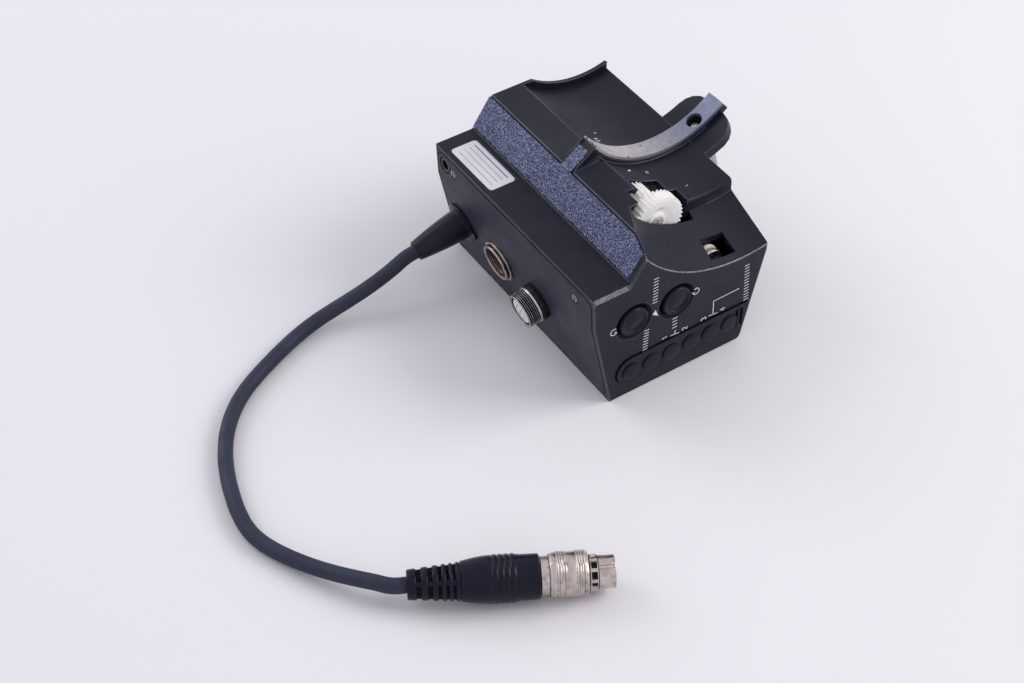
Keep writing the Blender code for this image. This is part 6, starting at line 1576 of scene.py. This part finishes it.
@dataclass
class PanelFittings(Assembly):
    """Strain relief, sockets and screws on the connector panel. Profiles run outwards from the panel."""

    gland: Place = panel_place(GLAND_Y)
    ring: Place = panel_place(RING_SOCKET_Y)
    barrel: Place = panel_place(THREAD_SOCKET_Y)
    boot_radii: Pair = (5.4, 3.45)
    thread_pitch: float = 0.68
    thread_depth: float = 0.42
    thread_span: Pair = (2.95, 6.95)
    pin_circle: float = 2.5

    def boot(self) -> Shell:
        """Strain relief: flange with a lug, drum and a tapered tail; r(s) = base + (tip - base) s^1.5.

        Returns:
            The closed surfaces.
        """
        base, tip = self.boot_radii
        share = np.linspace(0.0, 1.0, 12)
        profile = np.concatenate([
            [(0, -4.4), (4.2, -4.4), (4.2, 0.05), (7.2, 0.05), (7.2, 0.95), (6.6, 1.15), (base + 0.3, 1.2)],
            along(base + (tip - base) * share ** 1.5, 1.3 + (BOOT_LENGTH - 1.5) * share),
            [(tip - 0.15, BOOT_LENGTH), (2.7, BOOT_LENGTH), (2.6, BOOT_LENGTH - 1.0),
             (0, BOOT_LENGTH - 1.0)]])
        lug = np.array([(-8.5, -1.3), (-6.9, -1.9), (-6.9, 1.9), (-8.5, 1.3)])
        return turned(soften(profile, 0.18, 3), self.gland, 72) + prism(lug, 0.05, 1.0, self.gland)

    def hollow_shade(self) -> Shell:
        """Painted shade: dark thin flat shapes at the bottoms of the hollows that show beside the gland and
        the ring socket.

        Returns:
            A crescent, and a ring whose outline runs round outside and back inside.
        """
        crescent = np.concatenate([arc(8.7, -38, 38), arc(7.15, 38, -38)])
        outer, inner = circle(8.15, 49), circle(7.0, 49)
        moat = np.concatenate([outer, outer[:1], inner[:1], inner[:0:-1]])
        return prism(crescent, 0.02, 0.05, self.gland) + prism(moat, 0.02, 0.05, self.ring)

    def scuffs(self) -> Shell:
        """Two light rubbed spots on the panel's paint."""
        spots = (([(24.4, -20.9), (23.3, -20.0), (22.9, -18.8)], 0.5),
                 ([(1.9, -20.6), (0.9, -20.3), (0.5, -18.9)], 0.4))
        return joined(inked(points, width, panel_place(0.0, 0.0), 0.0, 0.02) for points, width in spots)

    def ring_socket(self) -> Shell:
        """Back flange, groove, front rim and a bore with fine thread rings.

        Returns:
            The closed surface.
        """
        profile = np.concatenate([
            [(0, -12.0), (6.0, -12.0), (6.0, 0.1), (7.4, 0.1), (7.4, 0.7), (7.05, 0.85), (6.6, 0.85),
             (6.1, 0.6), (6.1, 1.3), (6.6, 1.4), (6.6, 1.9), (6.4, 2.1), (5.95, 2.1), (5.65, 1.8),
             (5.35, 1.5), (5.3, 1.4)],
            along(np.where(np.arange(13) % 2, 5.3, 5.08), np.linspace(-3.0, 1.2, 13)[::-1]),
            [(5.3, -11.0), (0, -11.0)]])
        return turned(soften(profile, 0.08, 2), self.ring, 96)

    def ring_kinds(self, middles: Array) -> Array:
        """0 on the front rim, the back flange's rim and the first thread ring, 1 elsewhere, which gets painted
        shade.

        Args:
            middles: Middle points of the faces.

        Returns:
            The numbers.
        """
        radius, height = self.ring.round_axis(middles)
        rim = (height > 1.35) & (radius > 5.7)
        flange = (radius > 6.8) & (height > 0.3)
        thread = (height > 0.75) & (height < 1.15) & (radius < 5.5)
        return np.where(rim | flange | thread, 0, 1)

    def ring_insert(self) -> Shell:
        """Dark face with a raised ring round seven contact sleeves.

        Returns:
            The closed surfaces.
        """
        profile = [(0, -10.7), (5.0, -10.7), (5.0, -3.6), (4.4, -3.4), (4.4, -3.2), (3.9, -3.2), (3.8, -3.5),
                   (0, -3.5)]
        pin = [(0, -3.6), (0.5, -3.6), (0.5, -3.0), (0.3, -2.9), (0.25, -3.3), (0, -3.3)]
        return joined([turned(soften(profile, 0.1, 2), self.ring, 48),
                       *(turned(pin, self.ring.moved(a, b), 16) for a, b in circle(self.pin_circle, 7))])

    def thread_relief(self, angle: Array, height: Array, radius: Array) -> Array:
        """Rings of a fine thread: depth times a triangle wave of height over pitch, the same all round."""
        wave = np.abs(2 * ((height / self.thread_pitch + 0.0 * angle) % 1.0) - 1)
        return -self.thread_depth * wave * window(height, self.thread_span[0], 7.0) * (radius > 5.8)

    def thread_kinds(self, middles: Array) -> Array:
        """0 on the thread's crests, the root ring and the lip, 1 in the thread's roots and the bore, which get
        painted shade.
        """
        radius, height = self.barrel.round_axis(middles)
        return np.where(((radius > 5.96) | ((height > 7.0) & (radius > 4.95))) & (height > 2.3), 0, 1)

    def thread_socket(self) -> Shell:
        """Threaded barrel with a plain ring at its root and a bright lip.

        Returns:
            The closed surface.
        """
        profile = np.concatenate([
            [(0, -10.0), (5.4, -10.0), (5.4, 2.4), (6.35, 2.4), (6.4, 2.6), (6.35, 2.85), (6.05, 2.9)],
            along(6.05, np.linspace(*self.thread_span, 61)),
            [(5.95, 7.15), (5.8, 7.3), (5.2, 7.3), (5.0, 7.1), (5.0, -9.0), (0, -9.0)]])
        return turned(profile, self.barrel, 96, self.thread_relief)

    def thread_collar(self) -> Shell:
        """Black spacer ring at the root of the barrel."""
        return turned(soften([(5.7, 0.1), (6.5, 0.1), (6.5, 2.2), (5.7, 2.2)], 0.15, 3), self.barrel, 72)

    def thread_face(self) -> Shell:
        """Plain white face inside the barrel."""
        profile = [(0, -8.7), (4.7, -8.7), (4.7, 6.5), (4.3, 6.95), (0, 6.95)]
        return turned(soften(profile, 0.15, 3), self.barrel, 64)

    def contact_well_shade(self) -> Shell:
        """Painted shade in the contact wells of the white face, one in the middle and six round it, as low
        dark discs.
        """
        middles = [(0.0, 0.0), *circle(self.pin_circle, 6)]
        return joined(prism(circle(0.3, 16, middle), 6.94, 6.99, self.barrel) for middle in middles)

    def side_socket(self) -> Shell:
        """Small recessed socket near the rear top corner."""
        profile = [(0, -3.0), (2.7, -3.0), (2.7, -0.4), (2.4, -0.15), (1.9, -0.15), (1.7, -0.4), (1.7, -2.0),
                   (0, -2.0)]
        return turned(soften(profile, 0.12, 3), pocket_place(39.8, 42.2), 48)

    def build(self) -> None:
        """Makes the pieces."""
        self.make("strain_relief", self.boot(), Slot.RUBBER, GLAND_RUBBER, node="cable_boot", sharp=50.0)
        self.make("ring_shell", self.ring_socket(), Slot.NICKEL, NICKEL, SHADED_NICKEL,
                  node="ring_socket_shell", kinds=self.ring_kinds)
        self.make("thread_barrel", self.thread_socket(), Slot.CHROME, CHROME, SHADED_CHROME,
                  node="thread_socket_shell", sharp=130.0, kinds=self.thread_kinds)
        self.make("ring_insert", self.ring_insert(), Slot.INSERT, INSERT, node="ring_socket_insert")
        self.make("thread_collar", self.thread_collar(), Slot.BLACK_METAL, BLACK_METAL,
                  node="thread_socket_collar")
        self.make("thread_face", self.thread_face(), Slot.WHITE_PLASTIC, WHITE_PLASTIC,
                  node="thread_socket_insert")
        # The recessed side socket is all in the painted-shade nickel
        self.make("side_jack", self.side_socket(), Slot.NICKEL, SHADED_NICKEL, node="side_socket")
        # Painted shade in the contact wells
        self.make("thread_well_shade", self.contact_well_shade(), Slot.INSERT, INSERT)
        # Painted shade in the hollows beside the gland and the ring socket
        self.make("socket_hollow_shade", self.hollow_shade(), Slot.INSERT, INSERT)
        self.make("panel_scuffs", self.scuffs(), Slot.PANEL, SCUFF)
        for end in ("front", "rear"):
            self.copy(f"screw_{end}", f"panel_screw_{end}", Rounding(0.12), Slot.STEEL, SCREW_STEEL)


@dataclass
class Plug(Assembly):
    """Round push-pull plug: ribbed boot, neck, sleeve, claws, nose and insert. Heights run along its axis."""

    place: Place = Place(PLUG_START, tuple(np.subtract(PLUG_END, PLUG_START).tolist()), (0.0, 0.0, 1.0))
    windows: tuple[Pair, ...] = ((2.7, 4.15), (6.1, 7.4), (9.0, 10.05), (11.3, 12.2), (13.25, 14.1))
    first_web: float = 0.6981500366838602
    web_half: float = 0.17
    web_drop: float = 0.28
    core: float = 3.1
    claws: int = 10
    claw_depth: float = 0.75
    keyways: int = 4
    keyway_depth: float = 0.3

    def webs(self) -> Array:
        """Angles of the four webs that join the ribs."""
        return self.first_web + np.arange(4) * TURN / 4

    def rib_relief(self, angle: Array, height: Array, radius: Array) -> Array:
        """Inside a window the surface drops to the core, and a little over the webs.

        Args:
            angle: Angle round the axis.
            height: Height along the axis.
            radius: Radius before the change.

        Returns:
            The change of radius.
        """
        in_window = sum(window(height, low, high) for low, high in self.windows)
        web = (apart(angle, self.webs()) < self.web_half).astype(float)
        return in_window * (web * -self.web_drop + (1 - web) * (self.core - radius))

    def rib_kinds(self, middles: Array) -> Array:
        """1 on the floors of the windows, which get painted shade, 0 elsewhere."""
        radius, height = self.place.round_axis(middles)
        return (radius < self.core + 0.5) & (height > 2.0) & (height < 15.0)

    def boot(self) -> Shell:
        """Ribs with windows between them, a smooth taper, rounded grip ridges and a plain end.

        The ribs widen as r(h) = 4.4 + 1.3 h / 15, the taper as a quarter of a sine wave, and the ridges
        follow |sin(pi t)|^0.8.

        Returns:
            The closed surface.
        """
        low, high = np.array(self.windows).T
        heights = np.stack([low - 0.3, low - 0.04, low + 0.04, high - 0.04, high + 0.04, high + 0.3], axis=1)
        share, t = np.linspace(0.0, 1.0, 9)[1:], np.linspace(0.0, 4.0, 49)
        profile = np.concatenate([
            [(0, 0.9), (2.6, 0.9), (2.7, 0.0), (4.0, 0.0), (4.3, 0.12), (4.42, 0.4)],
            along(4.4 + 1.3 * heights / 15.0 - np.array([0.0, 0.18, 0.18, 0.18, 0.18, 0.0]), heights),
            [(5.68, 14.8), (5.5, 15.1), (5.5, 15.35), (5.85, 15.6)],
            along(5.85 + 1.15 * np.sin(share * math.pi / 2), 15.6 + 8.6 * share),
            along(6.84 + 0.3 * np.abs(np.sin(t * math.pi)) ** 0.8, 24.6 + 1.72 * t),
            [(6.85, 31.9), (6.72, 32.6), (6.66, 35.0), (6.62, 38.0), (6.4, 38.25), (5.9, 38.3), (0, 38.3)]])
        sides = [side * (self.web_half + step) for side in (-1, 1) for step in (-0.01, 0.01)]
        edges = (self.webs()[:, None] + np.array(sides)).ravel() % TURN
        angles = np.sort(np.concatenate([np.arange(72) * TURN / 72, edges]))
        return turned(profile, self.place, relief=self.rib_relief, angles=angles)

    def neck(self) -> Shell:
        """Metal neck that the sleeve slides over, and the core inside it."""
        profile = [(0, 38.6), (5.8, 38.6), (5.8, 40.9), (5.2, 41.0), (5.2, 52.2), (0, 52.2)]
        return turned(soften(profile, 0.05, 3), self.place, 72)

    @staticmethod
    def ridges(low: float, high: float) -> Array:
        """Four rounded ridges of the sleeve: r(s) = 6.6 + 0.28 |sin(4 pi s)| from the low to the high end."""
        share = np.linspace(0.0, 1.0, 34)
        return along(6.6 + 0.28 * np.abs(np.sin(share * 4 * math.pi)), low + (high - low) * share)

    def sleeve(self) -> Shell:
        """Coupling sleeve with two groups of rounded ridges and a wider bore at the neck.

        Returns:
            The closed surface.
        """
        profile = np.concatenate([
            [(5.4, 43.0), (5.95, 42.95), (5.95, 41.0), (6.25, 41.0), (6.4, 41.2), (6.55, 42.2), (6.65, 42.9)],
            self.ridges(43.0, 46.0), [(6.65, 46.2), (6.62, 47.4), (6.65, 48.6)], self.ridges(48.7, 51.6),
            [(6.5, 51.8), (6.35, 52.15), (6.1, 52.3), (5.4, 52.3)]])
        return turned(profile, self.place, 80)

    def nose_relief(self, angle: Array, height: Array, radius: Array) -> Array:
        """Slots between the claws and keyways along the nose.

        Args:
            angle: Angle round the axis.
            height: Height along the axis.
            radius: Radius before the change.

        Returns:
            The change of radius.
        """
        slots, keys = (np.arange(count) * TURN / count for count in (self.claws, self.keyways))
        slots = window(height, 53.0, 54.7) * (apart(angle, slots + 0.2) < 0.2)
        keys = window(height, 55.4, 59.9) * (apart(angle, keys + 0.35) < 0.09)
        return (radius > 4.8) * (-self.claw_depth * slots - self.keyway_depth * keys)

    def nose_kinds(self, middles: Array) -> Array:
        """1 on the floors of the slots and of the groove, which get painted shade, 0 elsewhere."""
        radius, height = self.place.round_axis(middles)
        return (radius > 4.3) & (radius < 4.8) & (height > 52.9) & (height < 55.3)

    def nose(self) -> Shell:
        """Claw ring, groove and plain nose with keyways."""
        profile = [(0, 52.6), (5.2, 52.6), (5.35, 52.7), (5.35, 52.98), (5.35, 53.02), (5.35, 53.8),
                   (5.35, 54.68), (5.35, 54.72), (5.3, 54.95), (4.6, 55.0), (4.6, 55.2), (4.9, 55.25),
                   (4.92, 55.38), (4.92, 55.42), (4.92, 57.5), (4.92, 59.88), (4.92, 59.92), (4.85, 60.05),
                   (4.7, 60.1), (4.2, 60.1), (4.05, 60.0), (4.05, 56.0), (0, 56.0)]
        return turned(profile, self.place, 160, self.nose_relief)

    def insert(self) -> Shell:
        """Dark face with six pins.

        Returns:
            The closed surfaces.
        """
        face = soften([(0, 56.2), (3.85, 56.2), (3.85, 58.5), (0, 58.5)], 0.15, 3)
        pin = [(0, 58.3), (0.35, 58.3), (0.35, 59.4), (0.2, 59.65), (0, 59.7)]
        return joined([turned(face, self.place, 48),
                       *(turned(pin, self.place.moved(a, b), 16) for a, b in circle(2.2, 6))])

    def build(self) -> list[bpy.types.Object]:
        """Makes the plug's pieces.

        Returns:
            The pieces, which all lie on the cable's end.
        """
        return [
            # The second finish of the ribs and the nose paints shade on the window, slot and groove floors
            self.make("plug_ribs", self.boot(), Slot.RUBBER, RUBBER, RECESS_SHADE, node="plug_boot",
                      kinds=self.rib_kinds),
            self.make("plug_front", self.nose(), Slot.NICKEL, NICKEL, RECESS_SHADE, node="plug_nose", sharp=30.0,
                      kinds=self.nose_kinds),
            self.make("plug_neck", self.neck(), Slot.NICKEL, NICKEL, node="plug_core"),
            self.make("plug_grip", self.sleeve(), Slot.NICKEL, NICKEL, node="plug_sleeve", body=Body.SLEEVE,
                      sharp=60.0),
            self.make("plug_face", self.insert(), Slot.INSERT, INSERT, node="plug_insert")]


@dataclass
class InnerWorks(Assembly):
    """The nodes that stay as the model has them, most of them inside the box."""

    def build(self) -> None:
        """Gives each node its finish."""
        for name, finish in NODE_FINISHES.items():
            node = frame["nodes"][name]
            made = finish.material(self.effects)
            if not node.material_slots:
                node.data.materials.append(made)
            for slot in node.material_slots:
                slot.material = made
            LOG.info("%s keeps its shape", name)


def corners(pair: tuple[Vector, Vector]) -> list[list[float]]:
    """A box as plain lists of numbers."""
    return [list(map(float, corner)) for corner in pair]


def main() -> None:
    """Builds the scene: camera and cable first, then each sub-assembly."""
    logging.basicConfig(level=logging.INFO, format="%(name)s: %(message)s")
    kept = set(frame["nodes"].values()) | set(frame["bodies"].values())
    for item in list(bpy.data.objects):
        if item not in kept:
            bpy.data.objects.remove(item)
    packed = corners(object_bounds())
    bpy.context.scene.view_settings.view_transform = "Standard"
    effects = Effects()
    Camera().build()
    cable = Cable(effects)
    cable.declare(cable.build(), Plug(effects).build())
    Studio().build()
    for assembly in (Housing, DriveTrain, ClampScrew, Controls, PanelFittings, InnerWorks):
        assembly(effects).build()
    {"packed": packed, "shown": corners(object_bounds())}


if __name__ == "__main__":
    main()
